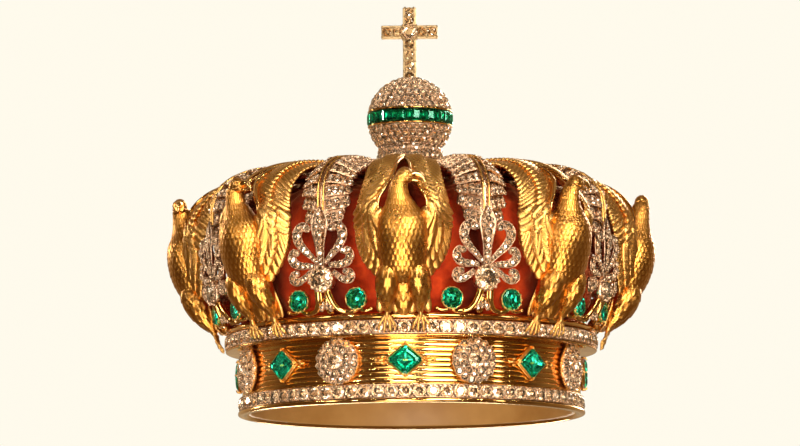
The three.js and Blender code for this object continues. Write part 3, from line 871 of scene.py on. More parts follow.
BODY = [
    # height, radius, half width, half depth, aside
    [34.6, 64.2, 3.6, 2.2, 0.0],
    [37.4, 66.0, 6.0, 3.8, 0.0],
    [40.6, 67.5, 6.9, 5.1, 0.0],
    [44.6, 68.7, 7.3, 5.9, 0.0],
    [48.6, 69.4, 7.4, 6.2, 0.0],
    [52.2, 69.7, 7.1, 6.0, 0.0],
    [55.0, 69.9, 6.1, 5.2, -0.1],
    [57.4, 70.3, 4.6, 4.2, -0.5],
    [60.2, 70.9, 3.2, 3.3, -1.0],
    [62.8, 71.4, 2.6, 2.8, -1.0],
    [65.0, 71.7, 2.1, 2.4, -0.6],
    [66.9, 71.7, 0.9, 1.1, -0.1],
]
THIGH = [
    [26.6, 61.2, 0.7, 0.8, 5.0],
    [28.4, 62.2, 1.6, 1.7, 5.05],
    [31.2, 64.1, 2.8, 3.0, 4.95],
    [34.6, 66.1, 3.5, 3.9, 4.6],
    [37.4, 67.3, 3.3, 3.9, 4.3],
    [39.8, 67.8, 2.3, 3.0, 4.0],
    [41.4, 67.8, 0.8, 1.2, 3.9],
]
TAIL_COVERT = [
    [26.0, 61.0, 1.2, 0.8, 0.0],
    [28.6, 62.3, 2.6, 1.3, 0.0],
    [32.4, 64.2, 3.1, 1.8, 0.0],
    [36.4, 66.2, 2.9, 2.2, 0.0],
    [39.6, 67.3, 2.0, 1.8, 0.0],
]
WING = [
    # radius, height, inner edge, outer edge, sweep
    [64.6, 35.5, 3.6, 6.6, 0.4],
    [66.2, 39.4, 3.4, 10.6, 2.6],
    [67.7, 44.6, 3.4, 12.8, 4.8],
    [68.6, 51.0, 4.6, 13.2, 6.0],
    [68.6, 55.8, 7.2, 13.1, 6.2],
    [68.1, 59.4, 7.0, 12.9, 6.3],
    [66.9, 62.8, 4.7, 12.4, 6.1],
    [64.6, 66.0, 2.7, 11.8, 5.2],
    [60.9, 69.3, 2.1, 10.9, 3.9],
    [56.2, 72.0, 1.3, 10.2, 2.9],
    [50.5, 73.8, 0.35, 9.2, 2.1],
    [43.0, 74.8, 0.15, 8.0, 1.7],
    [34.0, 75.3, 0.1, 6.4, 1.3],
    [24.0, 75.5, 0.1, 4.5, 0.9],
    [HUB_RADIUS + 0.2, 75.6, 0.1, 2.2, 0.5],
]


def feathered_limb(shape, rows, across, pitch, relief, steps, around, mirror=1):
    """A round body covered with small feathers whose tips point down."""
    table = spline(rows, steps)
    z, radius, wide, deep, aside = table.T
    line = np.stack([radius, z], axis=-1)
    slope = unit(np.gradient(line, axis=0))
    step = np.concatenate([[0], np.cumsum(np.linalg.norm(np.diff(line, axis=0), axis=1))])
    angle = even_angles(around)
    rows_down = (step[-1] - step)[:, None] / pitch + 0 * angle
    tiles = feather_tiles(angle / TAU * across + 0 * rows_down, rows_down)
    fade = np.minimum(1, wide / wide.max() * 1.6)[:, None]
    raised = relief * fade * tiles
    x = mirror * aside[:, None] + (wide[:, None] + raised) * np.sin(angle)
    out = (deep[:, None] + raised) * np.cos(angle)
    sections = at(x, radius[:, None] + slope[:, 1:] * out, z[:, None] - slope[:, :1] * out)
    loft(shape, sections)


def wing_sheet(shape, surface):
    """The wing's own surface, thin at its edges, with small covert feathers near the leading edge."""
    rows, columns = 150, 28
    s = np.linspace(0, surface.length, rows)[:, None]
    inner, outer = surface.edges(s)
    share = np.linspace(0, 0.93, columns)[None, :]
    x = inner + (outer - inner) * share
    tiles = feather_tiles((x - inner) / 2.1 + 0 * s, (surface.length - s) / 2.6 + 0.55 * share)
    edge = np.minimum(1, np.minimum(share, 0.93 - share) * 9)
    top = surface.place(x, s, 0.25 + edge * (0.25 + 0.4 * tiles))
    under = surface.place(x[:, ::3], s, -0.55)
    loft(shape, np.concatenate([top, under[:, ::-1]], axis=1))


def wing_feathers(shape, surface):
    """Long feathers that hang to the outer edge in four layers, and short ones over shoulder and arch."""
    low, shoulder = surface.at_height(36.5), surface.at_height(50.5)
    roots = surface.at_height(57.5)

    def long_feather(s, reach, across, length, width, lift):
        start = min(s + length, roots)
        tip = surface.edges(s)[1] + reach
        root = max(tip - across, surface.edges(start)[0] + width * 0.5)
        blade(shape, surface, (root, start), (tip, s), width, lift, 0.4, steps=16, ribs=11)

    def short_feather(s, start, end, rise, width, lift, steps):
        inner, outer = surface.edges(s)
        breadth = outer - inner
        root = (inner + breadth * start, s + rise)
        tip = (inner + breadth * end, s - 0.4)
        blade(shape, surface, root, tip, width, lift, steps=steps, thickness=0.25, ribs=7)

    for i, s in enumerate(np.linspace(low, shoulder, 9)):
        grow = min(1, 0.4 + i * 0.15)
        long_feather(s, 0.1, 3.6 * grow, 7 + 7 * grow, 3.9, (0.0, 0.75))
    # above the lowest tip, below the shoulder, count, reach, across, length, width, lift
    layers = [
        (2.4, 1, 6, -3.0, 2.4, 12.0, 3.8, (0.5, 1.3)),
        (5.5, 2, 4, -5.8, 1.4, 11.0, 3.5, (0.9, 1.75)),
        (9.0, 3, 2, -8.2, 0.6, 9.0, 3.2, (1.1, 2.0)),
    ]
    for above, below, count, *feather in layers:
        for s in np.linspace(low + above, shoulder - below, count):
            long_feather(s, *feather)
    for s in np.arange(shoulder + 0.6, roots, 2.3):
        for start, end, rise in ((0.06, 0.36, 2.9), (0.34, 0.70, 3.3), (0.66, 1.03, 3.4)):
            short_feather(s, start, end, rise, 3.3, (0.85, 1.45), 8)
    for s in np.arange(roots, surface.length - 4, 1.9):
        inner, outer = surface.edges(s)
        width = min(2.7, 0.9 + (outer - inner) * 0.22)
        for start, end, rise, lift in ((0.42, 1.03, 3.0, 0.3), (0.02, 0.56, 2.5, 0.6)):
            short_feather(s, start, end, rise, width, (lift, lift + 0.55), 10)


def leading_edge(shape, surface):
    """The thin bright lip that runs up beside the neck, proud of the wing, and meets its fellow above."""
    s = np.linspace(surface.at_height(53), surface.at_height(74.2), 44)
    inner = surface.edges(s)[0]
    t = np.linspace(0, 1, 44)
    rise = 0.5 + 1.5 * np.sin(np.clip(t * 1.25, 0, 1) * math.pi) ** 1.5
    foot, top = surface.place(inner + 0.25, s, -0.3), surface.place(inner - 0.1, s, rise)
    aside = surface.place(inner + 0.35, s, 0) - surface.place(inner, s, 0)
    loft(shape, np.stack([foot - aside / 2, top - aside / 2, top + aside / 2, foot + aside], axis=1))
    tube(shape, top, 0.27 + 0.15 * np.sin(t * math.pi), 10, POLISHED)


def tail(shape):
    """A fan of broad feathers behind the legs."""
    rows = [
        [63.6, 41.0, -5.0, 5.0, 0.3],
        [62.4, 35.0, -6.5, 6.5, 0.6],
        [60.4, 29.0, -7.8, 7.8, 0.9],
        [59.3, 25.6, -8.6, 8.6, 1.0],
    ]
    surface = Surface(rows, centred=True)
    # count, reach, half spread, lift, how much shorter the outer feathers are
    layers = [(7, 1.0, 7.2, 0.2, 0.05), (6, 0.86, 5.6, 0.75, 0.1 / 3), (3, 0.93, 2.6, 1.5, 0.05 / 3)]
    for count, reach, spread, lift, shorter in layers:
        for share in np.linspace(-1, 1, count):
            root = (share * spread * 0.5, 0.0)
            tip = (share * spread, surface.length * (reach - shorter * share ** 2))
            blade(shape, surface, root, tip, 3.5, (lift, lift + 0.5), thickness=0.5)


def head(shape):
    """The head in profile, looking to the right, with a hooked beak, a brow and an eye on each side."""
    radius = 71.9
    out = at(0, 1, 0)
    rows = [
        # side, height, half height, half depth
        [-1.9, 65.0, 0.6, 0.6],
        [-1.4, 65.2, 1.7, 1.6],
        [-0.3, 65.6, 2.35, 2.1],
        [1.0, 65.9, 2.4, 2.1],
        [2.2, 65.8, 2.0, 1.8],
        [3.1, 65.6, 1.5, 1.35],
    ]
    x, z, high, deep = (column[:, None] for column in spline(rows, 34).T)
    angle = even_angles(44)
    tiles = 0.18 * feather_tiles(angle / TAU * 15 + 0 * x, (x[-1] - x) / 0.9 + 0 * angle)
    loft(shape, at(x, radius + (deep + tiles) * np.cos(angle), z + (high + tiles) * np.sin(angle)))
    upper_beak = [
        [2.6, 66.1, 1.25, 1.15], [3.8, 66.4, 1.15, 1.0], [5.0, 66.2, 0.95, 0.8],
        [6.1, 65.5, 0.7, 0.55], [6.7, 64.6, 0.42, 0.32], [6.8, 63.8, 0.1, 0.1],
    ]
    lower_beak = [
        [2.6, 64.5, 0.65, 0.85], [3.9, 64.3, 0.5, 0.7], [5.0, 64.1, 0.35, 0.45], [5.7, 64.1, 0.1, 0.1],
    ]
    for rows in (upper_beak, lower_beak):
        table = spline(rows, 22)
        path = at(table[:, 0], radius, table[:, 1])
        tangent = unit(np.gradient(path, axis=0))
        up = unit(np.cross(np.broadcast_to(out, tangent.shape), tangent))
        angle = even_angles(16)
        ridge = 1 + 0.12 * np.cos(angle * 2)
        sections = (
            path[:, None]
            + out * (table[:, 3:4] * np.cos(angle) * ridge)[..., None]
            + up[:, None] * (table[:, 2:3] * np.sin(angle) * ridge)[..., None]
        )
        loft(shape, sections, POLISHED)
    # side, out from the middle of the head, height
    brow = [(0.4, 1.75, 66.8), (1.5, 1.9, 67.0), (2.9, 1.3, 66.7)]
    cheek = [(2.9, 1.35, 65.1), (1.8, 2.05, 64.9), (0.8, 2.1, 64.8)]
    for front in (-1, 1):
        ball(shape, at(1.6, radius + front * 1.95, 66.15), (0.55, 0.36, 0.5), POLISHED, 8, 14)
        for line, start, end in ((brow, 0.2, 0.3), (cheek, 0.26, 0.14)):
            path = spline([at(x, radius + front * y, z) for x, y, z in line], 10)
            tube(shape, path, np.linspace(start, end, 10), 8, GOLD)


def foot(shape, side):
    """A scaly leg with four toes and claws that grip down over the upper row of stones."""
    middle = side * 5.0
    ankle = [at(middle, radius, z) for radius, z in ((62.2, 29.0), (61.5, 27.2), (60.9, 25.6), (60.5, 25.0))]
    tube(shape, spline(ankle, 12), 0.66 + 0.07 * np.cos(np.linspace(0, 6, 12) * math.pi), 10, GOLD)
    for toe, reach in ((-2.3, 21.3), (-0.85, 20.7), (0.9, 20.6), (2.6, 21.3)):
        # share of the toe's way to the side, radius, height
        line = [
            (0, 60.6, 25.9), (0.5, 60.4, 24.4), (0.85, 59.9, 22.9),
            (1, 59.2, reach + 0.7), (1.02, 58.5, reach - 0.1),
        ]
        path = spline([at(middle + side * toe * share, radius, z) for share, radius, z in line], 26)
        t = np.linspace(0, 1, 26)
        knuckles = 0.45 + 0.08 * np.cos(t * 8 * math.pi)
        claw = np.clip((t - 0.74) / 0.26, 0, 1)
        tube(shape, path, knuckles * (1 - claw) + 0.3 * claw * (1.1 - claw), 8, GOLD)


def prop(shape, line, radius, sides, finish):
    """The bar that holds a piece up from behind, along (radius, height above the circlet)."""
    tube(shape, spline([at(0, r, CIRCLET_TOP + z) for r, z in line], 8), radius, sides, finish)


def eagle():
    shape = Shape()
    feathered_limb(shape, BODY, 30, 1.6, 0.26, steps=170, around=210)
    for side in (-1, 1):
        feathered_limb(shape, THIGH, 12, 2.6, 0.36, steps=72, around=84, mirror=side)
        surface = Surface(WING, side)
        wing_sheet(shape, surface)
        wing_feathers(shape, surface)
        leading_edge(shape, surface)
        foot(shape, side)
    feathered_limb(shape, TAIL_COVERT, 9, 2.8, 0.25, steps=56, around=64)
    tail(shape)
    head(shape)
    prop(shape, [(56.5, 0.3), (58.5, 2.2), (61.5, 4.0)], 2.2, 12, GOLD)
    return shape


# ---- Palmette, its bracket and its leafy arch ----

PALMETTE_STONE_Z = 36.5
VOLUTES = [
    # points of (side, height), width at the start, greatest width
    ([(0.9, 41.0), (3.2, 43.4), (5.6, 45.7), (7.2, 48.0), (7.5, 50.2), (6.6, 51.9), (5.2, 52.4), (3.9, 51.5)],
     1.2, 2.9),
    ([(2.2, 40.3), (4.2, 40.6), (6.8, 40.7), (8.7, 41.5), (9.6, 43.1), (9.0, 44.6), (7.8, 44.6)], 1.3, 2.6),
    ([(3.6, 38.9), (5.3, 37.4), (7.2, 36.2), (8.8, 36.1), (9.6, 37.0), (9.2, 38.3), (8.2, 38.4)], 1.3, 2.4),
]
MIDDLE_LEAF = [
    # height, half width
    (38.8, 0.9), (43.0, 1.15), (47.0, 1.6), (50.0, 2.3), (53.0, 2.75), (55.4, 2.1), (57.2, 1.0), (58.2, 0.15),
]
LEAF_STONES = [
    # side, height, size
    (0, 41.2, 1.2), (0, 42.7, 1.3), (0, 44.2, 1.45), (0, 45.9, 1.6), (0, 47.8, 1.9), (0, 50.1, 2.3),
    (-1.1, 52.2, 1.7), (1.1, 52.2, 1.7), (0, 54.0, 1.9), (-1.35, 53.9, 1.0), (1.35, 53.9, 1.0),
    (0, 55.8, 1.5), (0, 57.0, 0.8),
]
PALM = [
    # radius, height, edges, sweep
    [63.6, 52.6, -4.6, 4.6, 2.0],
    [64.1, 56.0, -6.6, 6.6, 3.8],
    [64.2, 60.0, -7.2, 7.2, 4.8],
    [63.8, 64.4, -7.4, 7.4, 5.2],
    [61.8, 68.2, -7.5, 7.5, 5.2],
    [57.8, 71.6, -7.5, 7.5, 5.0],
    [51.0, 74.2, -7.3, 7.3, 4.6],
    [42.0, 75.2, -6.7, 6.7, 3.8],
    [32.0, 75.3, -5.5, 5.5, 2.7],
    [22.0, 75.4, -3.8, 3.8, 1.6],
    [HUB_RADIUS + 0.3, 75.6, -2.2, 2.2, 0.7],
]


def palmette_radius(z):
    """The palmette leans outwards from its stone up to its bend, and a little inwards above it."""
    bend = 50
    return np.where(z < bend, 63.9 + (z - PALMETTE_STONE_Z) * 0.13, 65.65 - (z - bend) * 0.04)


def set_bar(shape, path, widths):
    """A flat bar along a path of (x, z) with raised edges and a line of small stones."""
    centre = at(path[:, 0], palmette_radius(path[:, 1]), path[:, 1])
    out = unit(at(0, 1, 0.12))
    across = unit(np.cross(out, unit(np.gradient(centre, axis=0))))
    half = np.array([(0.42, 0.1), (0.49, 0.3), (0.54, 0.1), (0.5, -0.55)])
    outline = np.concatenate([half[::-1] * [-1, 1], half])
    sections = (
        centre[:, None]
        + across[:, None] * (widths[:, None] * outline[:, 0])[..., None]
        + out * outline[:, 1:]
    )
    loft(shape, sections, SETTING)
    step = np.concatenate([[0], np.cumsum(np.linalg.norm(np.diff(centre, axis=0), axis=1))])
    place, places = widths[0] * 0.4, []
    while place < step[-1] - 0.3:
        size = np.interp(place, step, widths) * 0.84
        places.append(place + size / 2)
        place += size * 1.08
    places = np.array(places)
    size = np.interp(places, step, widths) * 0.82
    spot = np.stack([np.interp(places, step, centre[:, k]) for k in range(3)], axis=-1)
    pave(shape, spot + out * 0.22, out, size, 2)


def palmette():
    """Six volutes with a round knob at each end, a leaf in the middle and a big stone at the foot."""
    shape = Shape()
    for side in (-1, 1):
        for volute, start, widest in VOLUTES:
            path = spline(np.array(volute) * [side, 1], 40)
            t = np.linspace(0, 1, 40)
            widths = start + (widest - start) * np.sin(np.clip(t / 0.62, 0, 1) * math.pi / 2) ** 1.3
            widths *= 1 - 0.25 * np.clip((t - 0.62) / 0.38, 0, 1)
            set_bar(shape, path, widths)
            x, z = path[-1]
            knob = at(x, palmette_radius(z), z)
            ball(shape, knob, (1.05, 0.75, 1.05), SETTING, 8, 14)
            pave(shape, [knob + at(0, 0.7, 0.1)], unit(at(0, 1, 0.12)), 1.55, 4)
    leaf(shape)
    out = unit(at(0.05, 1, -0.08))
    size = 7.3
    centre = at(0, palmette_radius(PALMETTE_STONE_Z) + 1.1, PALMETTE_STONE_Z)
    big_brilliants(shape, [centre], out, size, prongs=12)
    profile = [(0.1, -0.5), (0.42, -0.42), (0.52, -0.1), (0.53, 0.0), (0.51, 0.02), (0.5, -0.12), (0.1, -0.4)]
    ring_pattern(profile, 32).stamp(shape, [centre], out, size)
    return shape


def leaf(shape):
    """The upright leaf in the middle of the palmette: narrow below, broad and pointed above."""
    z, half = spline(MIDDLE_LEAF, 44).T[..., None]
    right = np.array([(0.78, 0.16), (0.93, 0.38), (1.05, 0.05), (0.9, -0.7)])
    across, out = np.concatenate([right[::-1] * [-1, 1], [(0, 0.3)], right]).T
    loft(shape, at(half * across, palmette_radius(z) + 0.35 + out, z), SETTING)
    x, heights, sizes = np.array(LEAF_STONES).T
    pave(shape, at(x, palmette_radius(heights) + 0.62, heights), at(0, 1, 0.1), sizes, 3)


def palm():
    """Two columns of overlapping leaves, each set with stones, that slope away from a slender gold midrib."""
    shape = Shape()
    surface = Surface(PALM, centred=True, bend=1.25)
    rows, columns = 90, 17
    s = np.linspace(0, surface.length, rows)[:, None]
    half = surface.edges(s)[1]
    x = np.linspace(-0.9, 0.9, columns)[None] * half
    top, under = surface.place(x, s, 0.3), surface.place(x, s, -0.6)
    loft(shape, np.concatenate([top, under[:, ::-1]], axis=1), SETTING)
    s = np.linspace(1.5, surface.length, 90)
    for side in (-1, 1):
        gap = np.interp(s, [0, 8, surface.length], [0.3, 0.5, 0.3])
        tube(shape, surface.place(side * gap, s, 1.0), 0.3, 8, GOLD)
    pitch = 4.3
    count = int(surface.length / pitch)
    for i in range(count):
        for side in (-1, 1):
            palm_leaf(shape, surface, 1.6 + i * (surface.length - 3.0) / count, side, pitch)
    return shape


def palm_leaf(shape, surface, s, side, pitch):
    """One leaf: it springs up and outwards from the midrib, and its lower edge stands proud of the next."""
    start = 0.9
    span = surface.edges(s)[1] - start
    if span < 0.8:
        return

    def place(p, q, lift):
        """A place on the leaf: p is its share of the way out, and q is -1 at its top edge and 1 below."""
        p, q = np.broadcast_arrays(p, q)
        narrow = 0.72 + 0.28 * np.sin(np.clip(p * 1.3, 0, 1) * math.pi / 2)
        rounded = np.sqrt(np.clip(1 - (np.clip(p - 0.78, 0, 1) / 0.24) ** 2, 0.02, 1))
        rise = 1.9 * math.sin(1.2) * (1 - (1 - p) ** 2) * min(1, span / 5)
        along = s + rise - q * pitch * 0.58 * narrow * rounded
        return surface.place(side * (start + span * p), along, 0.75 + 0.5 * q + lift)

    out = np.linspace(0, 1, 14)
    p, q = out[:, None], np.linspace(-1, 1, 9)[None]
    edge = np.abs(q) ** 6
    top = place(p, q, 0.3 + 0.12 * edge - 0.25 * (q > 0.99))
    under = place(p, q[:, ::-1] * 0.96, -0.35)
    loft(shape, np.concatenate([top, under], axis=1), SETTING)
    tube(shape, place(out, 0.94, 0.3), 0.15, 6, SETTING)
    fits = max(1, round(span / 1.8))
    for q, size in ((-0.12, 1.7), (0.56, 1.65)):
        p = (np.arange(fits) + 0.5) / fits * 0.93 + 0.02
        middle = place(p, q, 0.34)
        normal = unit(np.cross(place(p + 0.02, q, 0.34) - middle, place(p, q - 0.05, 0.34) - middle)) * side
        ends = np.interp(p, [0, 0.15, 0.85, 1], [0.82, 1, 1, 0.8])
        sizes = size * ends * min(1, span / fits / 1.65) * random.uniform(0.86, 1.04, fits)
        pave(shape, middle, normal, sizes, 2)


RIBBON_TOP = [(1.6, 63.6, 33.4), (1.9, 62.6, 31.4), (2.5, 61.3, 29.4), (3.7, 60.1, 27.7)]
INNER_RIBBON_TOP = [(0.75, 63.5, 32.8), (1.0, 62.4, 30.8), (1.7, 60.8, 28.6)]
# side, radius, height above the circlet
RIBBON_FOOT = [(5.4, 59.2, 0.05), (7.2, 58.9, -0.05), (8.6, 59.0, 0.45), (9.3, 59.2, 1.45)]
INNER_RIBBON_FOOT = [(3.0, 59.6, 0.45)]
OUTER_WIRE = [(9.3, 59.2, 1.55), (10.4, 59.0, 0.35), (12.0, 58.7, 0.05), (13.6, 58.3, 0.65)]


def bracket():
    """The gold bell under the palmette: two broad ribbons, the waved wires beyond them and a tiny spray."""
    shape = Shape()
    t = np.linspace(0, 1, 44)
    wires = [
        # points, points given above the circlet, radii, sides
        (RIBBON_TOP, RIBBON_FOOT, 1.05 - 0.4 * t ** 0.7, 12),
        (INNER_RIBBON_TOP, INNER_RIBBON_FOOT, np.full(24, 0.38), 8),
        ([], OUTER_WIRE, np.linspace(0.55, 0.4, 20), 10),
    ]
    for side in (-1, 1):
        for upper, lower, radii, sides in wires:
            line = upper + [(x, radius, CIRCLET_TOP + z) for x, radius, z in lower]
            path = spline([at(side * x, radius, z) for x, radius, z in line], len(radii))
            tube(shape, path, radii, sides, POLISHED)
        ball(shape, path[-1], (0.62, 0.62, 0.62), POLISHED, 8, 12)
    for x, z, length, lean in ((0.0, 30.6, 2.9, 0.0), (-1.15, 29.4, 2.3, -0.6), (1.15, 29.4, 2.3, 0.6)):
        centre = at(x, 60.8, z)
        tip = at(x + lean * 0.9, 60.8 - 0.3, z - length)
        sprig = spline([at(x * 0.4, 61.6, z + 1.2), centre, (centre + tip) / 2, tip], 12)
        tube(shape, sprig, 0.8 * np.sin(np.linspace(0.35, 2.85, 12)), 8, SETTING)
        spots = [
            centre + at(0, 0.75, 0.5),
            centre * 0.6 + tip * 0.4 + at(0, 0.75, 0),
            centre * 0.2 + tip * 0.8 + at(0, 0.65, 0),
        ]
        pave(shape, spots, at(0, 1, -0.1), [1.1, 1.25, 0.95], 0)
    prop(shape, [(57.8, 0.3), (59.5, 2.0), (61.5, 4.4)], 1.3, 10, POLISHED)
    return shape


def small_emeralds():
    """The cushion emeralds on both sides of a palmette, in gold collets with grains round the edge."""
    shape = Shape()
    aside, radius, height, size = 9.4, 59.4, 30.6, 6.5
    inside, outside = [(0.5, 0.12), (0.47, 0.06), (0.45, -0.1)], [(0.44, -0.3), (0.49, -0.02), (0.52, 0.1)]
    collet = ring_pattern([(0.3, -0.32), *outside, *inside], 32, GOLD)
    rim = face_circle(even_angles(14)) * size * 0.5
    for side in (-1, 1):
        centre = at(side * aside, radius, height)
        out = unit(at(side * 0.1, 1, -0.02))
        CUSHION_CUT.stamp(shape, [centre + out * 0.9], out, size, 0.12 * side, (1, 1, 0.85))
        collet.stamp(shape, [centre + out * 0.55], out, size)
        GOLD_BEAD.stamp(shape, centre + out * 1.2 + rim, out, 0.7)
    return shape


# ---- Cap ----

CAP_OUTLINE = [
    # radius, height
    (52.0, 26.5), (56.2, 36.0), (56.9, 48.0), (54.0, 59.5),
    (46.5, 67.0), (36.0, 70.3), (22.0, 71.6), (9.0, 71.8),
]
ARCHES = 2 * BAYS
CLOTH_FRAMES = 16
FURTHEST_BLOWN = 2.0


def cap_grid(around, rows):
    """The cap before it is inflated: a dome that is drawn in a little under each of the sixteen arches."""
    outline = spline(CAP_OUTLINE, rows)
    angles = even_angles(around)
    pressed = np.cos(angles * ARCHES) * 0.5 + 0.5
    share = np.sin(np.linspace(0, 1, rows) * math.pi) ** 0.7
    drawn = 1.3 * pressed[None] * share[:, None]
    slope = unit(np.gradient(outline, axis=0))
    radius = outline[:, :1] - slope[:, 1:] * drawn
    height = outline[:, 1:] + slope[:, :1] * drawn
    return turned(at(0, radius, height), angles[None])


def inflate(cap, grid):
    """Cloth held at the hem, at the crown and along the arches, blown out so that it puckers between."""
    rows, around = grid.shape[:2]
    held = cap.vertex_groups.new(name="held")
    from_arch = np.abs((np.arange(around) * ARCHES / around + 0.5) % 1 - 0.5)
    row, column = np.indices((rows, around))
    fast = (row == 0) | (row == rows - 1) | ((from_arch[column] < 0.04) & (row % 2 == 0))
    held.add(np.flatnonzero(fast).tolist(), 1.0, "REPLACE")
    cloth = cap.modifiers.new("cloth", "CLOTH")
    settings = cloth.settings
    settings.vertex_group_mass = "held"
    settings.quality = 5
    settings.mass = 0.15
    settings.tension_stiffness = 12
    settings.compression_stiffness = 8
    settings.bending_stiffness = 0.02
    settings.use_pressure = True
    settings.uniform_pressure_force = 1.2
    settings.shrink_min = -0.05
    settings.effector_weights.gravity = 0
    cloth.point_cache.frame_start, cloth.point_cache.frame_end = 1, CLOTH_FRAMES
    scene = bpy.context.scene
    for step in range(1, CLOTH_FRAMES + 1):
        scene.frame_set(step)
    graph = bpy.context.evaluated_depsgraph_get()
    evaluated = cap.evaluated_get(graph).to_mesh()
    blown = np.array([v.co for v in evaluated.vertices]).reshape(grid.shape) / MM
    cap.modifiers.remove(cloth)
    scene.frame_set(1)
    moved = blown - grid
    reach = np.linalg.norm(moved, axis=-1, keepdims=True)
    return grid + moved * np.minimum(1, FURTHEST_BLOWN / np.maximum(reach, 1e-6))


def thick_cap(grid, thickness=0.9):
    """A closed soft shell with the grid as its outside and a rolled hem."""
    aside = np.roll(grid, -1, axis=1) - np.roll(grid, 1, axis=1)
    up = np.gradient(grid, axis=0)
    outward = unit(np.cross(aside, up))
    inside = (grid - outward * thickness)[::-1]
    rolls = [(k, 0.35 * math.sin(k * math.pi)) for k in (0.75, 0.5, 0.25)]
    hem = [grid[:1] - outward[:1] * thickness * k - [0, 0, below] for k, below in rolls]
    loops = np.concatenate([grid, inside, *hem])
    rows, around = loops.shape[:2]
    angles = np.arctan2(loops[..., 0], -loops[..., 1])
    # painted shade: the velvet is darkened under each of the sixteen arches, where they shade it
    painted_arch_shade = np.clip(np.cos(angles * ARCHES) * 0.5 + 0.35, 0, 0.85)
    shape = Shape()
    faces = quads(rows + 1, around, closed=True) % (rows * around)
    shape.add(loops, [(faces, VELVET, True)], painted_arch_shade)
    return shape


def cap():
    around, rows = 256, 40
    grid = cap_grid(around, rows)
    sheet = Shape()
    sheet.add(grid, [(quads(rows, around, closed=True), VELVET, True)])
    cloth = linked("cap_cloth", sheet.mesh("cap_cloth"))
    grid = inflate(cloth, grid)
    bpy.data.objects.remove(cloth)
    smooth = single("cap", thick_cap(grid), "velvet_cap").modifiers.new("soft", "SUBSURF")
    smooth.levels = smooth.render_levels = 1


# ---- Hub, orb and cross ----

def hub():
    shape = Shape()
    low, high = hub_low[2], hub_high[2]
    lathe(shape, [
        (1.4, low), (HUB_RADIUS - 1.2, low), (HUB_RADIUS - 0.3, low + 0.4), (HUB_RADIUS, low + 1.1),
        (HUB_RADIUS - 0.3, low + 1.9), (HUB_RADIUS, low + 2.7), (HUB_RADIUS - 0.2, high - 0.4),
        (HUB_RADIUS - 0.7, high), (1.4, high),
    ], 96, POLISHED)
    single("hub", shape, "arch_hub")


def pedestal():
    """The waisted foot of the orb, with two rings of stones between fine rims."""
    shape = Shape()
    low, wide = pedestal_low[2], pedestal_high[0]
    seat = ORB_Z - math.sqrt((ORB_RADIUS + GAP) ** 2 - (wide - 1.7) ** 2)
    profile = [
        (1.4, low), (wide - 0.4, low), (wide, low + 0.35), (wide - 0.3, low + 0.8), (wide - 1.0, low + 1.2),
        (wide - 1.7, low + 2.4), (wide - 1.6, seat - 1.0), (wide - 1.2, seat - 0.3), (wide - 1.7, seat),
    ]
    angles = np.linspace(50, 80, 5) * math.pi / 180
    bowl = [((ORB_RADIUS + GAP) * math.cos(a), ORB_Z - (ORB_RADIUS + GAP) * math.sin(a)) for a in angles]
    lathe(shape, [*profile, *bowl, (1.4, bowl[-1][1])], 96, SETTING)
    for rise, inset, count, lean, size in ((1.75, 1.2, 30, 0.35, 1.9), (3.75, 1.6, 28, -0.1, 1.8)):
        turns = even_angles(count)
        pave(shape, turned(at(0, wide - inset, low + rise), turns), turned(at(0, 1, lean), turns), size, 3)
    single("pedestal", shape, "orb_pedestal")


def orb():
    """A hollow ball set all over with rings of stones, grooved for the emerald belt."""
    shape = Shape()
    half_belt = (belt_high[2] - belt_low[2]) / 2 + 0.25
    groove = math.asin(half_belt / ORB_RADIUS)
    bore = math.asin(1.3 / ORB_RADIUS)
    upper = np.linspace(groove, math.pi / 2 - bore, 14)
    skin = ORB_RADIUS - 0.35
    outside = [(skin * math.cos(a), ORB_Z + skin * math.sin(a)) for a in upper]
    below = [(r, 2 * ORB_Z - z) for r, z in outside[::-1]]
    hollow = ORB_RADIUS - 1
    inside = [(hollow * math.cos(a), ORB_Z + hollow * math.sin(a)) for a in np.linspace(1.45, -1.45, 16)]
    step = ORB_RADIUS - 0.8
    groove_floor = [(step, ORB_Z - half_belt), (step, ORB_Z + half_belt)]
    lathe(shape, [*below, *groove_floor, *outside, *inside], 128, SETTING)
    for edge in (-1, 1):
        z = ORB_Z + edge * (half_belt + 0.18)
        ring = turned(at(0, ORB_RADIUS + 0.12, z), np.arange(97) * TAU / 96)
        tube(shape, ring, 0.24, 8, POLISHED)
    size = 2.15
    first = groove + (size * 0.62 + 0.35) / ORB_RADIUS
    # the rings stop short of the pedestal below and of the cross above
    for half, smallest_ring in ((-1, 8.2), (1, 2.6)):
        for row, lat in enumerate(np.arange(first, 1.4, size / ORB_RADIUS)):
            ring_radius = ORB_RADIUS * math.cos(lat)
            if ring_radius < smallest_ring:
                break
            count = max(5, int(TAU * ring_radius / (size * 1.1)))
            turns = even_angles(count, 0.5 * (row % 2))
            out = turned(at(0, math.cos(lat), half * math.sin(lat)), turns)
            sizes = size * random.uniform(0.94, 1.0, count)
            pave(shape, out * (ORB_RADIUS - 0.3) + [0, 0, ORB_Z], out, sizes, 3)
    single("orb", shape, "orb_shell")


def belt():
    """Upright emeralds fitted edge to edge round the orb."""
    shape = Shape()
    count = 34
    height = belt_high[2] - belt_low[2]
    width = TAU * (ORB_RADIUS + 0.1) / count
    out = turned(at(0, 1, 0), even_angles(count))
    stretch = (width * 0.99, height * 0.98, 2.0)
    CALIBRE_CUT.stamp(shape, out * (ORB_RADIUS + 0.12) + [0, 0, ORB_Z], out, stretch=stretch)
    single("emerald_belt", shape, "orb_emerald_belt")


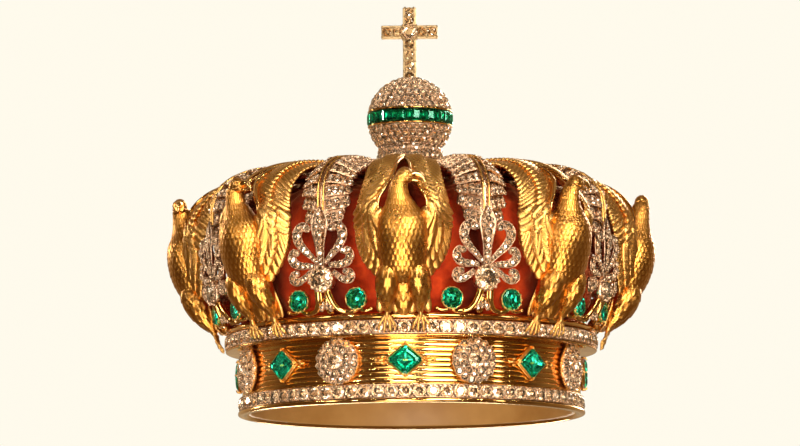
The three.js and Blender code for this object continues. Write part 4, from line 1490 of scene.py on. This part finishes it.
def cross_body(outline, depth):
    """The points and faces of the outline as a flat bar with bevelled edges."""
    x, z = np.array(outline).T
    front = at(x, depth / 2, z)
    count = len(outline)
    ends = [list(range(count)), list(range(count, 2 * count))]
    mesh = bpy.data.meshes.new("cross_body")
    mesh.from_pydata([*front.tolist(), *(front * [1, -1, 1]).tolist()], [],
                     [*quads(2, count, closed=True).tolist(), *ends])
    editable = bmesh.new()
    editable.from_mesh(mesh)
    bmesh.ops.recalc_face_normals(editable, faces=editable.faces)
    bmesh.ops.bevel(editable, geom=editable.edges[:], offset=0.28, segments=3, affect="EDGES", profile=0.6)
    bmesh.ops.triangulate(editable, faces=editable.faces[:])
    points = [list(v.co) for v in editable.verts]
    faces = [[v.index for v in face.verts] for face in editable.faces]
    editable.free()
    return points, faces


def cross():
    """A plain-armed cross with stones on both faces, the largest at the crossing."""
    shape = Shape()
    low, top = cross_low[2], cross_high[2]
    reach = (cross_high[0] - cross_low[0]) / 2
    depth = cross_high[1] - cross_low[1]
    arms = top - 7.7
    half = 2.1
    right = [
        (half, low), (half, arms - half), (reach, arms - half),
        (reach, arms + half), (half, arms + half), (half, top),
    ]
    points, faces = cross_body(right + [(-x, z) for x, z in right[::-1]], depth - 1.5)
    shape.add(points, [(faces, SHADED_GOLD, False)])
    size, pitch = 3.1, 3.45
    down = [(0, arms - half - (i + 0.5) * pitch, size) for i in range(4)]
    aside = [
        (side * (half + (i + 0.5) * pitch * 0.96), arms, size * 0.97) for side in (-1, 1) for i in range(2)
    ]
    up = [(0, arms + half + 0.5 * pitch * 0.85, 2.8), (0, top - 1.45, 2.7)]
    x, z, sizes = np.array([(0, arms, 4.2), *down, *aside, *up]).T
    for face in (-1, 1):
        centres = at(x, -face * (depth / 2 - 0.25), z)
        # the arms' stones and their metal use darker copies, painted shade; the stone at the crossing stays
        # bright
        big_brilliants(shape, centres[1:], [0, face, 0], sizes[1:], prongs=4, depth=0.65, kit=SHADED_GOLD_KIT)
        big_brilliants(shape, centres[:1], [0, face, 0.1], sizes[:1], prongs=8, depth=0.65)
        for side, above in ((-1, -1), (-1, 1), (1, -1), (1, 1)):
            grains = centres + np.stack([side * sizes, 0 * x, above * sizes], axis=-1) * 0.5
            SHADED_GOLD_BEAD.stamp(shape, grains - [0, face * 0.25, 0], [0, face, 0], 0.75)
    single("jewelled_cross", shape, "cross")


# ---- Assembly ----

circlet()
stone_row("lower_brilliants", "lower_stone_row", LOWER_RADIUS, lower_low[2], lower_high[2])
stone_row("upper_brilliants", "upper_stone_row", UPPER_RADIUS, upper_low[2], upper_high[2])
moulding()
lining()
round_the_bays("lozenge", lozenge(), "lozenge_emerald")
round_the_bays("rosette", rosette(), "cluster_rosette", 0.5)
round_the_bays("gold_eagle", eagle(), "eagle")
round_the_bays("diamond_palmette", palmette(), "palmette", 0.5)
round_the_bays("leafy_arch", palm(), "palm_arch", 0.5)
round_the_bays("bracket", bracket(), "palmette_bracket", 0.5)
round_the_bays("small_emeralds", small_emeralds(), None, 0.5)
cap()
hub()
pedestal()
orb()
belt()
cross()
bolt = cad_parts["finial_bolt"]
bolt.data.materials.clear()
bolt.data.materials.append(MATERIALS[POLISHED])


# ---- Stage, light and camera ----

FLOOR_HALF = 6.0
CREAM = (1.0, 0.96, 0.84)
WARM_ROOM = (0.085, 0.045, 0.018)
CREAM_WALL = (0.42, 0.31, 0.18)
TAN_GROUND = (0.16, 0.095, 0.045)
SOFT_LIGHT = (1.0, 0.92, 0.78)
LAMP_LIGHT = (1.0, 0.95, 0.88)
INSIDE_LIGHT = (1.0, 0.88, 0.66)
LENS = 218.5
CAMERA_AZIMUTH = 2.0
CAMERA_ROLL = -0.3
CAMERA_DISTANCE = 1.5
CAMERA_HEIGHT = -0.120
CAMERA_AIM = (-0.0033, 0, 0.0603)
SOFTBOXES = [
    # name, azimuth, elevation, distance, size, power
    ("key", 22, 14, 1.1, (0.34, 0.55), 8.0),
    ("front", -4, -1, 1.1, (0.26, 0.06), 2.0),
    ("under", -4, -27, 1.1, (0.34, 0.16), 4.0),
    ("below", -2, -52, 1.1, (0.6, 0.40), 5.0),
    ("left", -52, 14, 1.2, (0.12, 0.3), 1.3),
    ("right", 62, 10, 1.2, (0.10, 0.3), 1.0),
    ("top", 0, 80, 1.2, (0.4, 0.4), 0.5),
    ("back_key", 158, 18, 1.1, (0.3, 0.5), 8.0),
    ("back_side", 236, 14, 1.2, (0.12, 0.3), 2.5),
    ("back_under", 186, -27, 1.1, (0.34, 0.16), 3.0),
]
LAMPS = [
    # azimuth, elevation
    (-28, 40), (-12, 16), (4, 50), (34, 14), (44, 42), (-70, 36), (80, 34), (-34, 8), (12, 10), (50, 24),
]


def floor():
    """A pale floor. Only the camera sees it, from above, so light reaches the crown from below."""
    corners = [(x * FLOOR_HALF, y * FLOOR_HALF, 0) for x, y in ((-1, -1), (1, -1), (1, 1), (-1, 1))]
    mesh = bpy.data.meshes.new("floor")
    mesh.from_pydata(corners, [], [(0, 1, 2, 3)])
    n = Nodes("pale_floor")
    pale = n.ramp(n.noise(0.004), (0.4, 0.80, 0.76, 0.68), (0.6, 0.83, 0.79, 0.71))
    shaded = n.new("BsdfDiffuse", Color=pale)
    even = n.new("Emission", Color=pale, Strength=0.92)
    away = n.new("VectorMath", Vector=n.new("TexCoord").outputs["Object"])
    away.operation = "LENGTH"
    fade = n.new("MapRange", Value=away.outputs["Value"], From_Min=0.06, From_Max=0.40, To_Min=0.55)
    fade.interpolation_type = "SMOOTHSTEP"
    under = n.new("NewGeometry").outputs["Backfacing"]
    other = n.maths("SUBTRACT", 1.0, n.new("LightPath").outputs["Is Camera Ray"])
    unseen = n.maths("MAXIMUM", under, other)
    mesh.materials.append(n.finish(n.either(unseen, n.either(fade, shaded, even), n.new("BsdfTransparent"))))
    made = linked("floor", mesh)
    made.location.z = -0.0004


def sky():
    """Cream behind the crown, and around it a room that lights the metal and another that the stones see.

    The first is warm and dim on the viewer's side, creamy behind and tan below. The second is full of
    small lamps, and only light that has passed through a stone comes from it.
    """
    n = Nodes("studio", "World")
    where = n.new("TexCoord").outputs["Generated"]
    parts = n.new("SeparateXYZ", Vector=where)
    wall = n.mix(n.between(parts.outputs["Y"], 0.0, 0.8), WARM_ROOM, CREAM_WALL)
    whole = n.mix(n.between(parts.outputs["Z"], -0.15, -0.5), wall, TAN_GROUND)
    spots = n.new("TexNoise", Vector=where, Scale=4.0, Detail=1.5).outputs["Fac"]
    dark, glow = (0.38, 0.09, 0.05, 0.028), (0.49, 0.60, 0.40, 0.24)
    lamps = n.ramp(spots, dark, glow, (0.57, 2.0, 1.5, 1.0), (0.66, 7.0, 6.2, 5.0))
    path = n.new("LightPath").outputs
    within = n.maths("GREATER_THAN", path["Transmission Depth"], 0.5)
    around = n.either(within, n.new("Background", Color=whole), n.new("Background", Color=lamps))
    shown = n.either(path["Is Camera Ray"], around, n.new("Background", Color=CREAM))
    bpy.context.scene.world = n.finish(shown)


def aim(made, direction):
    """Turns a light or camera to look along a direction."""
    made.rotation_mode = "QUATERNION"
    made.rotation_quaternion = direction.to_track_quat("-Z", "Y")


def softbox(name, azimuth, elevation, distance, size, power, colour=SOFT_LIGHT, height=0.06):
    """An area light aimed at a height on the crown's axis, from an azimuth, 0 for the front, in degrees."""
    light = bpy.data.lights.new(name, "AREA")
    light.shape = "RECTANGLE"
    light.size, light.size_y = size
    light.energy = power
    light.color = colour
    made = linked(name, light)
    a, e = math.radians(azimuth), math.radians(elevation)
    back = Vector((math.sin(a) * math.cos(e), -math.cos(a) * math.cos(e), math.sin(e)))
    made.location = back * distance + Vector((0, 0, height))
    made.visible_camera = False
    aim(made, -back)


def lights():
    """Tall keys at front and back, low light from both sides, and small lamps that make stones glitter."""
    for row in SOFTBOXES:
        softbox(*row)
    for i, (azimuth, elevation) in enumerate(LAMPS):
        softbox(f"lamp_{i + 1}", azimuth, elevation, 1.0, (0.03, 0.03), 0.5, LAMP_LIGHT)
    softbox("inside", 0, 90, 0.03, (0.05, 0.05), 0.007, INSIDE_LIGHT, 0.008)


def camera():
    """A long lens, a little below the crown and a little to its right."""
    data = bpy.data.cameras.new("camera")
    data.lens = LENS
    data.clip_start, data.clip_end = 0.05, 30
    made = linked("camera", data)
    a = math.radians(CAMERA_AZIMUTH)
    made.location = (math.sin(a) * CAMERA_DISTANCE, -math.cos(a) * CAMERA_DISTANCE, CAMERA_HEIGHT)
    aim(made, Vector(CAMERA_AIM) - made.location)
    made.rotation_quaternion @= Quaternion((0, 0, 1), math.radians(CAMERA_ROLL))
    bpy.context.scene.camera = made


floor()
sky()
lights()
camera()
bpy.context.scene.view_settings.view_transform = "Standard"
